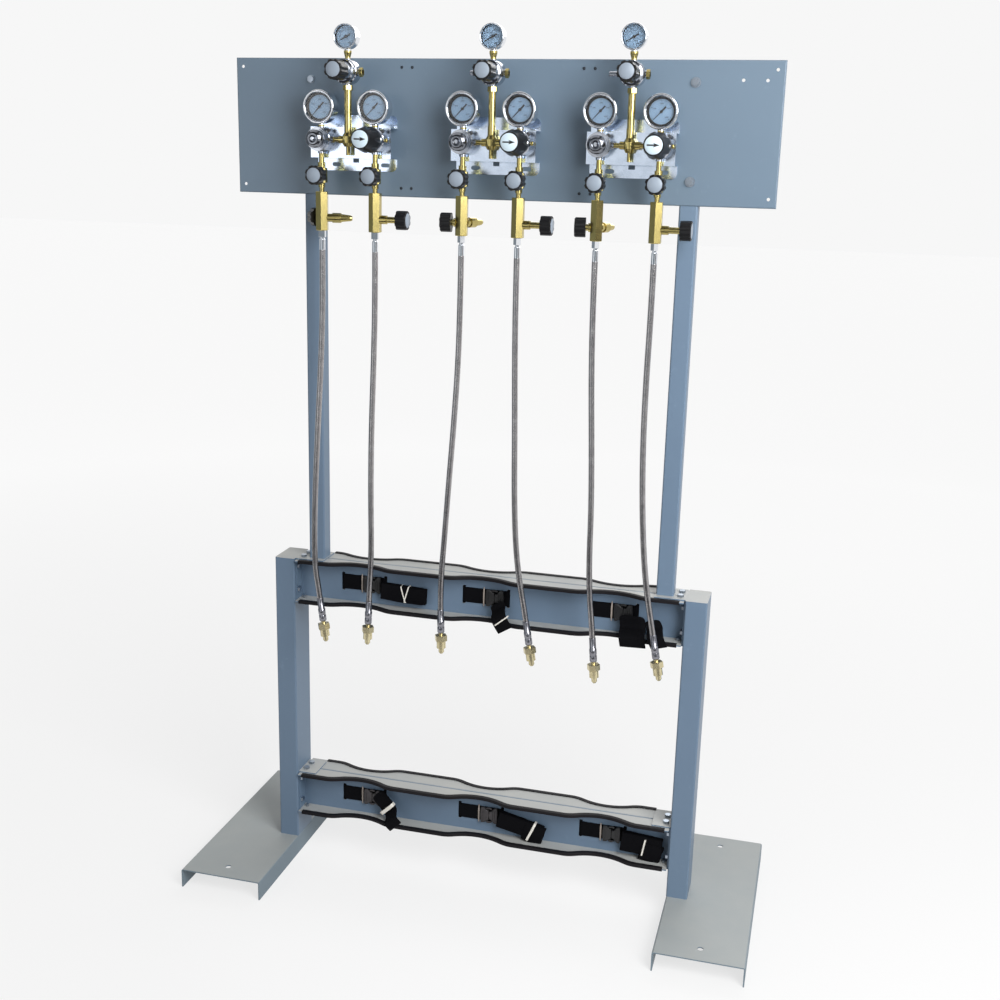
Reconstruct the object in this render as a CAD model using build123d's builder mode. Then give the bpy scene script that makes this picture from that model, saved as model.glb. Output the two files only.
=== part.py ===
"""Gas cylinder station: a double-sided rack for six cylinders with three changeover manifolds.

Millimetres. X runs along the station, -Y is the manifold side and +Z is up. The origin is on the
floor, under the middle of the frame.
"""
from build123d import *
from math import cos, radians, sin, tan
import os

os.makedirs("parts", exist_ok=True)

# Sheet steel, bends and fits
sheet = 3.0
bend_radius = 5.0
seat_gap = 0.3
spindle_fit = 0.08

# Feet: inverted channels
foot_width = 208.0
foot_length = 560.0
foot_height = 48.0
foot_hole_radius = 7.0
foot_hole_spacing = 470.0

# Posts
post_clear_width = 956.0
post_width = 50.8
post_depth = 88.9
post_corner = 4.0
post_top = 800.0
mast_width = 40.0
mast_wall = 2.5
mast_inset = 50.0

# Rails: two channels back to back, with a cylinder scallop in each bay
rail_height = 106.0
lower_rail_bottom = 119.0
flange_reach = 50.0
scallop_depth = 22.0
scallop_radius = 130.0
crest_radius = 70.0
bay_end_margin = 13.0
slot_spacing = 110.0
slot_width = 8.0
slot_height = 46.0

# Rubber trim on the flange edges
trim_wall = 2.5
trim_cover = 8.0
trim_fit = 0.1
trim_end_gap = 10.0

# Brackets that hold the rails, and their bolts
bracket_half_depth = 36.0
upper_tab_length = 72.0
lower_tab_length = 46.0
bolt_flats = 13.0
bolt_head = 5.5
bolt_radius = 4.0
bolt_hole_radius = 4.5
bolt_reach = 12.0
plate_bolt_y = 27.0
plate_bolt_top = 18.0
plate_bolt_bottom = 28.0
tab_bolt_y = 16.0
tab_bolt_inset = 14.0

# Back panel
panel_width = 1219.2
panel_height = 295.0
panel_top = 1965.0
panel_sheet = 2.0
panel_return = 14.0
panel_bend = 3.0
panel_hole_radius = 3.5
corner_hole_side = 16.6
corner_hole_inset = 19.0
pair_centre_x = 203.0
pair_half_spacing = 12.0
extra_hole_side = (84.6, 35.6)
extra_hole_inset = 40.0
left_washer_radius = 8.5
right_washer_radius = 10.5
washer_thickness = 1.6
panel_bolt_inset = 45.0
panel_bolt_spacing = 200.0

# Manifold stations
station_x = (-318.0, 8.0, 306.0)
leg_offset = 63.0
pipe_standoff = 58.0
regulator_drop = 175.0
line_regulator_drop = 34.0
valve_drop = 77.0
block_drop = 35.0
body_radius = 26.0
riser_radius = 7.8
riser_nut_flats = 19.0

# Hat-shaped manifold brackets
hat_width = 188.0
hat_sheet = 2.0
hat_standoff = 44.5
hat_drop = 39.0
hat_height = 66.0
hat_flange = 27.0
hat_corner = 12.0
hat_slot_x = (-50.0, 66.0)
hat_slot_length = 20.0
hat_slot_height = 9.0
hat_notch_x = -3.0
hat_notch_width = 14.0
hat_notch_depth = 9.0

# Regulators
changeover_seat = 36.0
line_seat = 46.0
line_back = 15.0
body_boss = 0.5
line_boss = 2.0
outlet_flats = 17.0
outlet_length = 8.0
outlet_bore = 5.6

# Knobs
knob_radius = 21.0
knob_length = 27.0
line_knob_length = 41.0
lobe_count = 8
flute_radius = 6.0
flute_depth = 2.4
knob_chamfer = 2.0
label_radius = 16.0
label_recess = 0.8
changeover_rear_radius = 28.0
changeover_front_radius = 21.0
changeover_label_radius = 18.6
changeover_length = 58.0
spindle_radius = 3.5
spindle_length = 14.0

# Pressure gauges
inlet_gauge_radius = 36.0
line_gauge_radius = 26.5
inlet_stem_length = 3.5
line_stem_length = 17.0
inlet_gauge_back = 16.0
line_gauge_back = 10.0
gauge_front = 18.0
dial_seat = 6.0
dial_thickness = 1.2
lens_thickness = 2.0
lens_front = 15.3
inlet_bezel_width = 6.0
line_bezel_width = 3.2
bezel_lip = 1.2
case_step = 1.0
gauge_boss = 1.5
gauge_fit = 0.15
pointer_pin_radius = 1.2
pointer_hub_radius = 3.0
inlet_gauge_zero = 226.0
line_gauge_zero = 208.0

# Inlet valves, blocks and bleed valves
valve_flats = 22.0
valve_height = 32.0
bonnet_radius = 9.0
bonnet_front = 21.0
block_flats = 25.4
block_length = 85.0
bleed_drop = 57.0
left_bleed_angles = (132.0, 186.0, 189.0)
vent_angle = 120.0
vent_length = 68.0
bleed_knob_length = 24.0
left_knob_start = 22.0
right_knob_start = 52.0

# Hoses and their ends
hose_radius = 6.0
collar_nut_length = 15.0
collar_length = 43.0
collar_radius = 7.5
connector_flats = 26.0
connector_nut_start = 36.0
connector_nut_length = 15.0

# Cylinder straps
strap_width = 38.0
strap_thickness = 2.0
strap_bundle = 16.0
strap_bundle_back = 8.0
tail_thickness = 9.0
buckle_length = 46.0
buckle_height = 44.0
buckle_thickness = 12.0

# Places worked out from the sizes above
post_inner = post_clear_width / 2
post_outer = post_inner + post_width
rail_half_length = post_inner - sheet
upper_rail_bottom = post_top - sheet - rail_height
rail_bottoms = {"upper": upper_rail_bottom, "lower": lower_rail_bottom}
tab_lengths = {"upper": upper_tab_length, "lower": lower_tab_length}
bay_pitch = (post_clear_width - 2 * bay_end_margin) / 3
bay_places = {"left": -bay_pitch, "middle": 0.0, "right": bay_pitch}
bay_x = tuple(bay_places.values())
mast_centre_x = post_inner - mast_inset
mast_bottom = post_top
mast_top = panel_top - panel_sheet - 8.0
mast_front = -mast_width / 2
panel_front = mast_front - panel_sheet
panel_bottom = panel_top - panel_height
corner_hole_x = panel_width / 2 - corner_hole_side
extra_hole_x = [panel_width / 2 - side for side in extra_hole_side]
regulator_z = panel_top - regulator_drop
line_regulator_z = panel_top - line_regulator_drop
port_reach = body_radius + 4
top_port = body_radius + 1
inlet_gauge_z = regulator_z + top_port + inlet_stem_length + gauge_boss + inlet_gauge_radius
line_gauge_z = line_regulator_z + top_port + line_stem_length + gauge_boss + line_gauge_radius
valve_z = regulator_z - valve_drop
block_top = valve_z - block_drop
hat_bottom = regulator_z - hat_drop
pipe_y = panel_front - pipe_standoff
hat_front = panel_front - hat_standoff
hat_gap = -(pipe_y - hat_front)
leg_x = [x + side * leg_offset for x in station_x for side in (-1, 1)]
block_bottom = block_top - block_length
bleed_z = block_top - bleed_drop
block_face = block_flats / 2
hose_top = block_bottom - collar_length
left_to_right = (-1, 1)
front_to_back = (-1, 1)

# Axes used to place turned pieces: the plane's X axis is the turning axis


def upright(x):
    """Distances are heights, on a vertical axis through the pipe plane at x."""
    return Plane(origin=(x, pipe_y, 0), x_dir=(0, 0, 1), z_dir=(0, -1, 0))


def ahead(x, z):
    """Distances run forward from the pipe plane."""
    return Plane(origin=(x, pipe_y, z), x_dir=(0, -1, 0), z_dir=(0, 0, 1))


def outward(x, z, angle):
    """Distances run out from a vertical axis at x, at an angle from +X."""
    return Plane(origin=(x, pipe_y, z), x_dir=(cos(radians(angle)), sin(radians(angle)), 0), z_dir=(0, 0, 1))


def turned(plane, steps):
    """Turn an outline of (distance, radius) corners about the plane's X axis."""
    with BuildPart() as piece:
        with BuildSketch(plane):
            with BuildLine():
                Polyline((steps[0][0], 0), *steps, (steps[-1][0], 0), close=True)
            make_face()
        revolve(axis=Axis(plane.origin, plane.x_dir))
    return piece.part


def hexagonal(plane, flats, start, end):
    """A hexagonal bar along the plane's X axis, from start to end, with chamfered corners."""
    face = Plane(origin=plane.origin + plane.x_dir * start, x_dir=plane.z_dir, z_dir=plane.x_dir)
    with BuildPart() as bar:
        with BuildSketch(face):
            RegularPolygon(flats / 2, 6, major_radius=False)
        extrude(amount=end - start)
        chamfer(bar.faces().filter_by(Axis(plane.origin, plane.x_dir)).edges(), flats * 0.04)
    return bar.part


def save(name, *pieces):
    """Write the separate solids of one node."""
    solids = [solid for piece in pieces for solid in piece.solids()]
    group = Compound(label=name, children=solids)
    export_step(group, f"parts/{name}.step")


# Feet


def foot(side):
    """Inverted channel with its inner flange under the post, and two anchor holes."""
    centre_x = side * (post_inner + foot_width / 2)
    with BuildPart() as channel:
        with BuildSketch(Plane.XZ):
            with Locations((centre_x, foot_height / 2)):
                Rectangle(foot_width, foot_height)
        extrude(amount=foot_length / 2, both=True)
        fillet(channel.edges().filter_by(Axis.Y).group_by(Axis.Z)[-1], bend_radius)
        with BuildSketch(Plane.XZ) as hollow:
            with Locations((centre_x, (foot_height - sheet) / 2)):
                Rectangle(foot_width - 2 * sheet, foot_height - sheet)
            fillet(hollow.vertices().group_by(Axis.Y)[-1], bend_radius - sheet)
        extrude(amount=foot_length / 2, both=True, mode=Mode.SUBTRACT)
        with Locations(Plane.XY.offset(foot_height)):
            with Locations((centre_x, -foot_hole_spacing / 2), (centre_x, foot_hole_spacing / 2)):
                Hole(foot_hole_radius, depth=sheet)
    return channel.part


# Posts


def short_post(side):
    """Rectangular tube with a welded cap, drilled for the rail brackets."""
    centre_x = side * (post_inner + post_width / 2)
    height = post_top - foot_height
    with BuildPart() as tube:
        with BuildSketch(Plane.XY.offset(foot_height)):
            with Locations((centre_x, 0)):
                RectangleRounded(post_width, post_depth, post_corner)
        extrude(amount=height)
        with BuildSketch(Plane.XY.offset(foot_height)):
            with Locations((centre_x, 0)):
                RectangleRounded(post_width - 2 * sheet, post_depth - 2 * sheet, post_corner - sheet + 1)
        extrude(amount=height - sheet, mode=Mode.SUBTRACT)
        with BuildSketch(Plane.YZ.offset(side * post_inner)):
            for bottom in rail_bottoms.values():
                heights = (bottom + plate_bolt_bottom, bottom + rail_height - plate_bolt_top)
                with Locations(*[(y * plate_bolt_y, z) for y in front_to_back for z in heights]):
                    Circle(bolt_hole_radius)
        extrude(amount=side * sheet, mode=Mode.SUBTRACT)
    return tube.part


def mast(side):
    """Tall square tube that carries the panel, standing on the upper rail's bracket."""
    with BuildPart() as tube:
        with BuildSketch(Plane.XY.offset(mast_bottom)):
            with Locations((side * mast_centre_x, 0)):
                RectangleRounded(mast_width, mast_width, post_corner)
                inner = mast_width - 2 * mast_wall
                RectangleRounded(inner, inner, post_corner - mast_wall, mode=Mode.SUBTRACT)
        extrude(amount=mast_top - mast_bottom)
        with BuildSketch(Plane.XZ.offset(-mast_front)):
            with Locations(*panel_bolt_places(side)):
                Circle(bolt_hole_radius)
        extrude(amount=-mast_wall, mode=Mode.SUBTRACT)
    return tube.part


def panel_bolt_places(side):
    """The two bolts that hold the panel to one mast, as (x, z)."""
    top = panel_top - panel_bolt_inset
    return [(side * mast_centre_x, top), (side * mast_centre_x, top - panel_bolt_spacing)]


for name, side in (("left", -1), ("right", 1)):
    save(f"{name}_foot", foot(side))
    save(f"{name}_short_post", short_post(side))
    save(f"{name}_tall_post", mast(side))


# Rails: the wavy outline serves the flanges and, offset, their rubber trim


def flange_outline(side, grow=0.0, start=-rail_half_length, end=rail_half_length):
    """Plan of one channel's flange with its three scallops, grown outwards by an offset."""
    reach = flange_reach + grow
    radius = scallop_radius - grow
    centre_y = flange_reach - scallop_depth + scallop_radius
    with BuildSketch() as outline:
        with Locations((0, side * reach / 2)):
            Rectangle(2 * rail_half_length, reach)
        with Locations(*[(x, side * centre_y) for x in bay_x]):
            Circle(radius, mode=Mode.SUBTRACT)
        crests = [v for v in outline.vertices() if abs(v.X) < rail_half_length - 1 and abs(v.Y) > reach - 1]
        fillet(crests, crest_radius + grow)
        with Locations(((start + end) / 2, side * reach / 2)):
            Rectangle(end - start, 2 * reach, mode=Mode.INTERSECT)
    return outline.sketch


def channel(side, bottom):
    """One rail channel: web on the centre line, scalloped flanges, strap slots and bolt holes."""
    with BuildPart() as rail:
        with BuildSketch(Plane.YZ) as section:
            with Locations((side * flange_reach / 2, bottom + rail_height / 2)):
                Rectangle(flange_reach, rail_height)
            web_corners = [v for v in section.vertices() if abs(v.X) < 1]
            fillet(web_corners, bend_radius)
            with Locations((side * (flange_reach + sheet) / 2, bottom + rail_height / 2)):
                Rectangle(flange_reach - sheet, rail_height - 2 * sheet, mode=Mode.SUBTRACT)
        extrude(amount=rail_half_length, both=True)
        add(flange_outline(side).moved(Location((0, 0, bottom))))
        extrude(amount=rail_height, mode=Mode.INTERSECT)
        with BuildSketch(Plane.XZ):
            with Locations(*[(x, bottom + rail_height / 2) for x in bay_x]):
                with GridLocations(slot_spacing, 0, 2, 1):
                    Rectangle(slot_width, slot_height)
        extrude(amount=-side * sheet, mode=Mode.SUBTRACT)
        bolt_x = post_inner - tab_bolt_inset
        with BuildSketch(Plane.XY.offset(bottom)):
            with Locations((-bolt_x, side * tab_bolt_y), (bolt_x, side * tab_bolt_y)):
                Circle(bolt_hole_radius)
        extrude(amount=rail_height, mode=Mode.SUBTRACT)
    return rail.part


def trim(side, level, start, end):
    """Rubber edging: a U section that follows one flange's free edge."""
    with BuildPart() as edging:
        add(flange_outline(side, trim_wall, start, end).moved(Location((0, 0, level - trim_wall))))
        extrude(amount=sheet + 2 * trim_wall)
        edge_height = edging.edges().group_by(Axis.Z)
        rims = edge_height[0] + edge_height[-1]
        inner_reach = flange_reach - scallop_depth
        outer = [e for e in rims if abs(e.center().Y) > inner_reach and e.length > 2 * trim_wall]
        chamfer([e for e in outer if e.geom_type != GeomType.LINE or abs(e.tangent_at(0).X) > 0.9], 1.0)
        add(flange_outline(side, -trim_cover, start, end).moved(Location((0, 0, level - trim_wall))))
        extrude(amount=sheet + 2 * trim_wall, mode=Mode.SUBTRACT)
        add(flange_outline(side, trim_fit, start, end).moved(Location((0, 0, level - trim_fit))))
        extrude(amount=sheet + 2 * trim_fit, mode=Mode.SUBTRACT)
    return edging.part


trims = []
for level_name, bottom in rail_bottoms.items():
    save(f"{level_name}_rail", channel(-1, bottom), channel(1, bottom))
    front_end = rail_half_length - trim_end_gap
    rear_end = post_inner - tab_lengths[level_name]
    for level in (bottom, bottom + rail_height - sheet):
        trims.append(trim(-1, level, -front_end, front_end))
        trims.append(trim(1, level, -rear_end, rear_end))
save("edge_trim", *trims)


# Rail brackets


def rail_bracket(side, bottom, tab_length):
    """Bent bracket that clasps a rail's end, bolted to the post and through the flanges."""
    top = bottom + rail_height
    with BuildPart() as clasp:
        with BuildSketch(Plane.XZ):
            with Locations((side * (post_inner - tab_length / 2), (top + bottom) / 2)):
                Rectangle(tab_length, rail_height + 2 * sheet)
            with Locations((side * (post_inner - sheet - tab_length / 2), (top + bottom) / 2)):
                Rectangle(tab_length, rail_height, mode=Mode.SUBTRACT)
        extrude(amount=bracket_half_depth, both=True)
        with BuildSketch(Plane.YZ.offset(side * (post_inner - sheet))):
            heights = (bottom + plate_bolt_bottom, top - plate_bolt_top)
            with Locations(*[(y * plate_bolt_y, z) for y in front_to_back for z in heights]):
                Circle(bolt_hole_radius)
        extrude(amount=side * sheet, mode=Mode.SUBTRACT)
        with BuildSketch(Plane.XY.offset(bottom - sheet)):
            bolt_x = side * (post_inner - tab_bolt_inset)
            with Locations((bolt_x, -tab_bolt_y), (bolt_x, tab_bolt_y)):
                Circle(bolt_hole_radius)
        extrude(amount=rail_height + 2 * sheet, mode=Mode.SUBTRACT)
    return clasp.part


save(
    "rail_brackets",
    *[
        rail_bracket(side, bottom, tab_lengths[level_name])
        for level_name, bottom in rail_bottoms.items()
        for side in left_to_right
    ],
)


# Hex bolts: a head above the seat and a shank below it

with BuildPart() as bolt:
    with BuildSketch():
        RegularPolygon(bolt_flats / 2, 6, major_radius=False)
    extrude(amount=bolt_head)
    with BuildSketch():
        Circle(bolt_radius)
    extrude(amount=-bolt_reach)


def panel_bolt(washer_radius):
    """Bolt on a flat washer."""
    with BuildPart() as fastener:
        with BuildSketch():
            Circle(washer_radius)
        extrude(amount=washer_thickness)
        with BuildSketch(Plane.XY.offset(washer_thickness)):
            RegularPolygon(bolt_flats / 2, 6, major_radius=False)
        extrude(amount=bolt_head)
        with BuildSketch():
            Circle(bolt_radius)
        extrude(amount=-bolt_reach)
    return fastener.part


def bracket_bolt_planes():
    """Seats of the bolts in the rail brackets, each facing the way its head points."""
    planes = []
    for bottom in rail_bottoms.values():
        top = bottom + rail_height
        for side in left_to_right:
            plate_x = side * (post_inner - sheet)
            tab_x = side * (post_inner - tab_bolt_inset)
            for y in front_to_back:
                for z in (bottom + plate_bolt_bottom, top - plate_bolt_top):
                    planes.append(Plane(origin=(plate_x, y * plate_bolt_y, z), z_dir=(-side, 0, 0)))
                planes.append(Plane(origin=(tab_x, y * tab_bolt_y, top + sheet), z_dir=(0, 0, 1)))
                planes.append(Plane(origin=(tab_x, y * tab_bolt_y, bottom - sheet), z_dir=(0, 0, -1)))
    return planes


with BuildPart() as hex_bolts:
    with Locations(*bracket_bolt_planes()):
        add(bolt.part)
    for side, washer_radius in ((-1, left_washer_radius), (1, right_washer_radius)):
        places = [(x, panel_front, z) for x, z in panel_bolt_places(side)]
        with Locations(*[Plane(origin=place, z_dir=(0, -1, 0)) for place in places]):
            add(panel_bolt(washer_radius))
hex_bolts.part.label = "hex_bolts"
export_step(hex_bolts.part, "parts/hex_bolts.step")


# Back panel: a shallow tray with returned edges, notched where it passes the masts

with BuildPart() as back_panel:
    with BuildSketch(Plane.XZ.offset(-panel_front)):
        with Locations((0, panel_top - panel_height / 2)):
            Rectangle(panel_width, panel_height)
    extrude(amount=-panel_return)
    fillet(back_panel.faces().sort_by(Axis.Y)[0].edges(), panel_bend)
    offset(amount=-panel_sheet, openings=back_panel.faces().sort_by(Axis.Y)[-1])
    with BuildSketch(Plane.XZ.offset(-mast_front)):
        with Locations((-mast_centre_x, panel_bottom), (mast_centre_x, panel_bottom)):
            Rectangle(mast_width + 2, 4 * panel_bend)
    extrude(amount=-panel_return, mode=Mode.SUBTRACT)
    with BuildSketch(Plane.XZ.offset(-panel_front)):
        hole_rows = (panel_top - corner_hole_inset, panel_bottom + corner_hole_inset)
        with Locations(*[(x, z) for x in (-corner_hole_x, corner_hole_x) for z in hole_rows]):
            Circle(panel_hole_radius)
        for centre in (-pair_centre_x, pair_centre_x):
            pair_x = (centre - pair_half_spacing, centre + pair_half_spacing)
            with Locations(*[(x, z) for x in pair_x for z in hole_rows]):
                Circle(panel_hole_radius)
        with Locations(*[(x, panel_top - extra_hole_inset) for x in extra_hole_x]):
            Circle(panel_hole_radius)
        with Locations(*panel_bolt_places(-1), *panel_bolt_places(1)):
            Circle(bolt_hole_radius)
    extrude(amount=-panel_sheet, mode=Mode.SUBTRACT)
back_panel.part.label = "back_panel"
export_step(back_panel.part, "parts/back_panel.step")


# Manifold brackets


def hat_bracket(x):
    """Hat section: a standing plate between two flanges with rounded corners, slots and a notch."""
    hat_top = hat_bottom + hat_height
    outer_height = hat_height + 2 * hat_flange
    with BuildPart() as hat:
        with BuildSketch(Plane.YZ):
            with Locations((panel_front - hat_sheet / 2, hat_bottom + hat_height / 2)):
                Rectangle(hat_sheet, outer_height)
            with Locations((panel_front - hat_standoff / 2, hat_bottom + hat_height / 2)):
                Rectangle(hat_standoff, hat_height)
            with Locations((panel_front - (hat_standoff - hat_sheet) / 2, hat_bottom + hat_height / 2)):
                Rectangle(hat_standoff - hat_sheet, hat_height - 2 * hat_sheet, mode=Mode.SUBTRACT)
        extrude(amount=hat_width / 2, both=True)
        corners = hat.edges().filter_by(Axis.Y).filter_by(lambda e: e.length < 1.5 * hat_sheet)
        fillet(corners.group_by(Axis.Z)[0] + corners.group_by(Axis.Z)[-1], hat_corner)
        with BuildSketch(Plane.XZ.offset(-panel_front)):
            with Locations(*[(dx, hat_bottom - hat_flange / 2) for dx in hat_slot_x]):
                SlotOverall(hat_slot_length, hat_slot_height)
            with Locations((hat_notch_x, hat_bottom - hat_notch_depth / 2 + hat_sheet)):
                Rectangle(hat_notch_width, hat_notch_depth + 2 * hat_sheet)
        extrude(amount=hat_standoff - hat_sheet, mode=Mode.SUBTRACT)
    return hat.part.moved(Location((x, 0, 0)))


save("manifold_brackets", *[hat_bracket(x) for x in station_x])


# Regulators, all turned about a forward axis, with ports on the body


def regulator_body(x, z, front_steps, back, boss, ports):
    """A round body on a rear boss, with stepped bonnet rings and short ports along (dx, dz)."""
    rear = boss - back
    steps = [(-back, 14), (rear, 14), (rear, body_radius - 1), (rear + 1, body_radius), (16, body_radius)]
    shape = turned(ahead(x, z), steps + front_steps)
    with BuildPart() as body:
        add(shape)
        for dx, dz, reach in ports:
            start = Plane(origin=(x, pipe_y, z), z_dir=(dx, 0, dz))
            with BuildSketch(start):
                Circle(8)
            extrude(amount=reach)
    return body.part


ring = body_radius - 1
cap = body_radius - 7
fixed_front = [
    (17, ring), (24, ring), (24, ring - 1.5), (30, ring - 1.5), (30, ring - 3.5), (36, ring - 3.5), (36, cap),
    (43, cap), (46, cap - 1.5), (50, cap - 5), (50, 4), (54, 4), (55, 3),
]
changeover_end = changeover_seat + spindle_length
changeover_front = [
    (18, ring - 1), (26, ring - 1), (27, ring - 3), (changeover_seat, ring - 3), (changeover_seat, 5),
    (changeover_end, 5),
]
line_front = [
    (18, ring - 1), (30, ring - 1), (32, ring - 5), (line_seat, ring - 7), (line_seat, 5),
    (line_seat + spindle_length, 5),
]
fixed_ports = ((1, 0, port_reach), (0, -1, port_reach), (0, 1, top_port))
changeover_ports = ((-1, 0, port_reach), (0, -1, port_reach), (0, 1, top_port))
save(
    "fixed_regulators",
    *[
        regulator_body(x - leg_offset, regulator_z, fixed_front, hat_gap, body_boss, fixed_ports)
        for x in station_x
    ],
)
save(
    "changeover_regulators",
    *[
        regulator_body(x + leg_offset, regulator_z, changeover_front, hat_gap, body_boss, changeover_ports)
        for x in station_x
    ],
)


def line_regulator(x):
    """Line regulator with a plug on its left and an outlet boss on its right."""
    ports = ((1, 0, top_port), (0, 1, top_port), (0, -1, top_port))
    body = regulator_body(x, line_regulator_z, line_front, line_back, line_boss, ports)
    with BuildPart() as whole:
        add(body)
        add(turned(outward(x, line_regulator_z, 180), [(20, 5.5), (48, 5.5), (50, 4.5)]))
    return whole.part


save("line_regulators", *[line_regulator(x) for x in station_x])


# Brass pipework of one station, brazed into single runs

outlet_end = top_port + outlet_length


def station_piping(x):
    """The cross with its arms, the riser, the outlet nut, the gauge stem and the two drops."""
    cross_radius = hat_gap - body_boss
    nut_bottom = line_regulator_z - top_port - 11
    riser = [
        (regulator_z - 33, 4.8), (regulator_z - 15, 4.8), (regulator_z - 15, 8.5),
        (regulator_z - 7, cross_radius), (regulator_z + 7, cross_radius), (regulator_z + 15, 8.5),
        (regulator_z + 34, 8.5), (regulator_z + 34, riser_radius),
        (nut_bottom, riser_radius), (nut_bottom, 8), (line_regulator_z - top_port, 8),
    ]
    arm = leg_offset - port_reach
    with BuildPart() as run:
        add(turned(upright(x), riser))
        add(turned(outward(x, regulator_z, 0), [(-arm, 5), (-21, 5), (-21, 8), (21, 8), (21, 5), (arm, 5)]))
        add(hexagonal(upright(x), riser_nut_flats, nut_bottom, line_regulator_z - top_port))
    gauge_bottom = line_gauge_z - line_gauge_radius - gauge_boss
    stem_bottom = line_regulator_z + top_port
    stem = turned(upright(x), [(stem_bottom, 6), (stem_bottom + 4, 6), (gauge_bottom - 4, 8.5),
                               (gauge_bottom, 8.5)])
    with BuildPart() as outlet:
        add(hexagonal(outward(x, line_regulator_z, 0), outlet_flats, top_port, outlet_end))
        with BuildSketch(Plane.YZ.offset(x + top_port)):
            with Locations((pipe_y, line_regulator_z)):
                Circle(outlet_bore)
        extrude(amount=outlet_length, mode=Mode.SUBTRACT)
    return [run.part, stem, outlet.part]


def leg_piping(x):
    """Gauge stem above a regulator, and the nipples above and below the inlet valve."""
    gauge_bottom = inlet_gauge_z - inlet_gauge_radius - gauge_boss
    valve_top = valve_z + valve_height / 2
    valve_bottom = valve_z - valve_height / 2
    stem = turned(upright(x), [(regulator_z + top_port, 7), (gauge_bottom, 7)])
    drop = turned(upright(x), [(valve_top, 8.5), (valve_top + 12, 8.5), (valve_top + 12, 5.8),
                               (regulator_z - port_reach, 5.8)])
    nipple = turned(upright(x), [(block_top, 5.5), (block_top + 9, 5.5), (block_top + 9, 7.5),
                                 (valve_bottom, 7.5)])
    return [stem, drop, nipple]


pipework = [piece for x in station_x for piece in station_piping(x)]
pipework += [piece for x in leg_x for piece in leg_piping(x)]
save("manifold_piping", *pipework)


# Gauges: a closed case with a bezel, a dial on its seat and a lens behind the lip


def gauge(x, z, radius, bezel_width, gauge_back):
    """Case, dial and lens of one gauge, facing forward."""
    axis = ahead(x, z)
    body = radius - case_step
    window = radius - bezel_width
    pocket = window + bezel_lip
    lens_back = lens_front - lens_thickness
    case = [
        (-gauge_back, body - 3), (-gauge_back + 3, body), (9, body), (9, radius), (16.5, radius),
        (gauge_front, radius - 1.5), (gauge_front, window + 1), (lens_front, window), (lens_front, pocket),
        (dial_seat, pocket),
    ]
    dial_edge = pocket - gauge_fit
    hole = pointer_pin_radius + spindle_fit
    with BuildPart() as dial:
        add(turned(axis, [(dial_seat, dial_edge), (dial_seat + dial_thickness, dial_edge)]))
        with BuildSketch(Plane.XZ.offset(-pipe_y)):
            with Locations((x, z)):
                Circle(hole)
        extrude(amount=dial_seat + dial_thickness, mode=Mode.SUBTRACT)
    lens = turned(axis, [(lens_back, dial_edge), (lens_front, dial_edge)])
    with BuildPart() as housing:
        add(turned(axis, case))
        add(turned(upright(x), [(z - radius - gauge_boss, 7.5), (z - radius + 2, 7.5)]))
    return housing.part, dial.part, lens


gauge_places = [(x, line_gauge_z, line_gauge_radius, line_bezel_width, line_gauge_back) for x in station_x]
gauge_places += [(x, inlet_gauge_z, inlet_gauge_radius, inlet_bezel_width, inlet_gauge_back) for x in leg_x]
cases, dials, lenses = zip(*[gauge(*place) for place in gauge_places])
save("gauge_cases", *cases)
save("gauge_dials", *dials)
save("gauge_lenses", *lenses)


def pointer(x, z, window, zero):
    """Needle with a long tapered end, a broad tail and a pin that turns in the dial."""
    hub_back = dial_seat + dial_thickness + seat_gap
    heading = (cos(radians(zero)), 0, sin(radians(zero)))
    face = Plane(origin=(x, pipe_y - hub_back - 1, z), x_dir=heading, z_dir=(0, -1, 0))
    with BuildPart() as needle:
        with BuildSketch(face):
            with BuildLine():
                Polyline((window * 0.82, 0.4), (0, 1.2), (-window * 0.45, 1.8), (-window * 0.45, -1.8),
                         (0, -1.2), (window * 0.82, -0.4), close=True)
            make_face()
        extrude(amount=0.8)
        add(turned(ahead(x, z), [(dial_seat + spindle_fit, pointer_pin_radius), (hub_back, pointer_pin_radius),
                                 (hub_back, pointer_hub_radius), (hub_back + 3, pointer_hub_radius)]))
    return needle.part


line_window = line_gauge_radius - line_bezel_width
inlet_window = inlet_gauge_radius - inlet_bezel_width
for number, x in enumerate(station_x, start=1):
    save(f"line_gauge_pointer_{number}", pointer(x, line_gauge_z, line_window, line_gauge_zero))
for number, x in enumerate(leg_x, start=1):
    save(f"inlet_gauge_pointer_{number}", pointer(x, inlet_gauge_z, inlet_window, inlet_gauge_zero))


# Knobs


def spindle_bore(face, radius):
    """Blind bore that runs on a fixed spindle."""
    with BuildPart() as bore:
        with BuildSketch(face):
            Circle(radius + spindle_fit)
        extrude(amount=spindle_length + seat_gap)
    return bore.part


def lobed_knob(axis, start, length, spindle):
    """Grip with eight lobes, a chamfered rim and a shallow seat for a label disc."""
    face = Plane(origin=axis.origin + axis.x_dir * start, x_dir=axis.z_dir, z_dir=axis.x_dir)
    with BuildPart() as grip:
        with BuildSketch(face):
            Circle(knob_radius)
            with PolarLocations(knob_radius + flute_radius - flute_depth, lobe_count):
                Circle(flute_radius, mode=Mode.SUBTRACT)
        extrude(amount=length)
        chamfer(grip.faces().sort_by(Axis(axis.origin, axis.x_dir))[-1].edges(), knob_chamfer)
        with BuildSketch(face.offset(length)):
            Circle(label_radius)
        extrude(amount=-label_recess, mode=Mode.SUBTRACT)
        add(spindle_bore(face, spindle), mode=Mode.SUBTRACT)
    return grip.part


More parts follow.
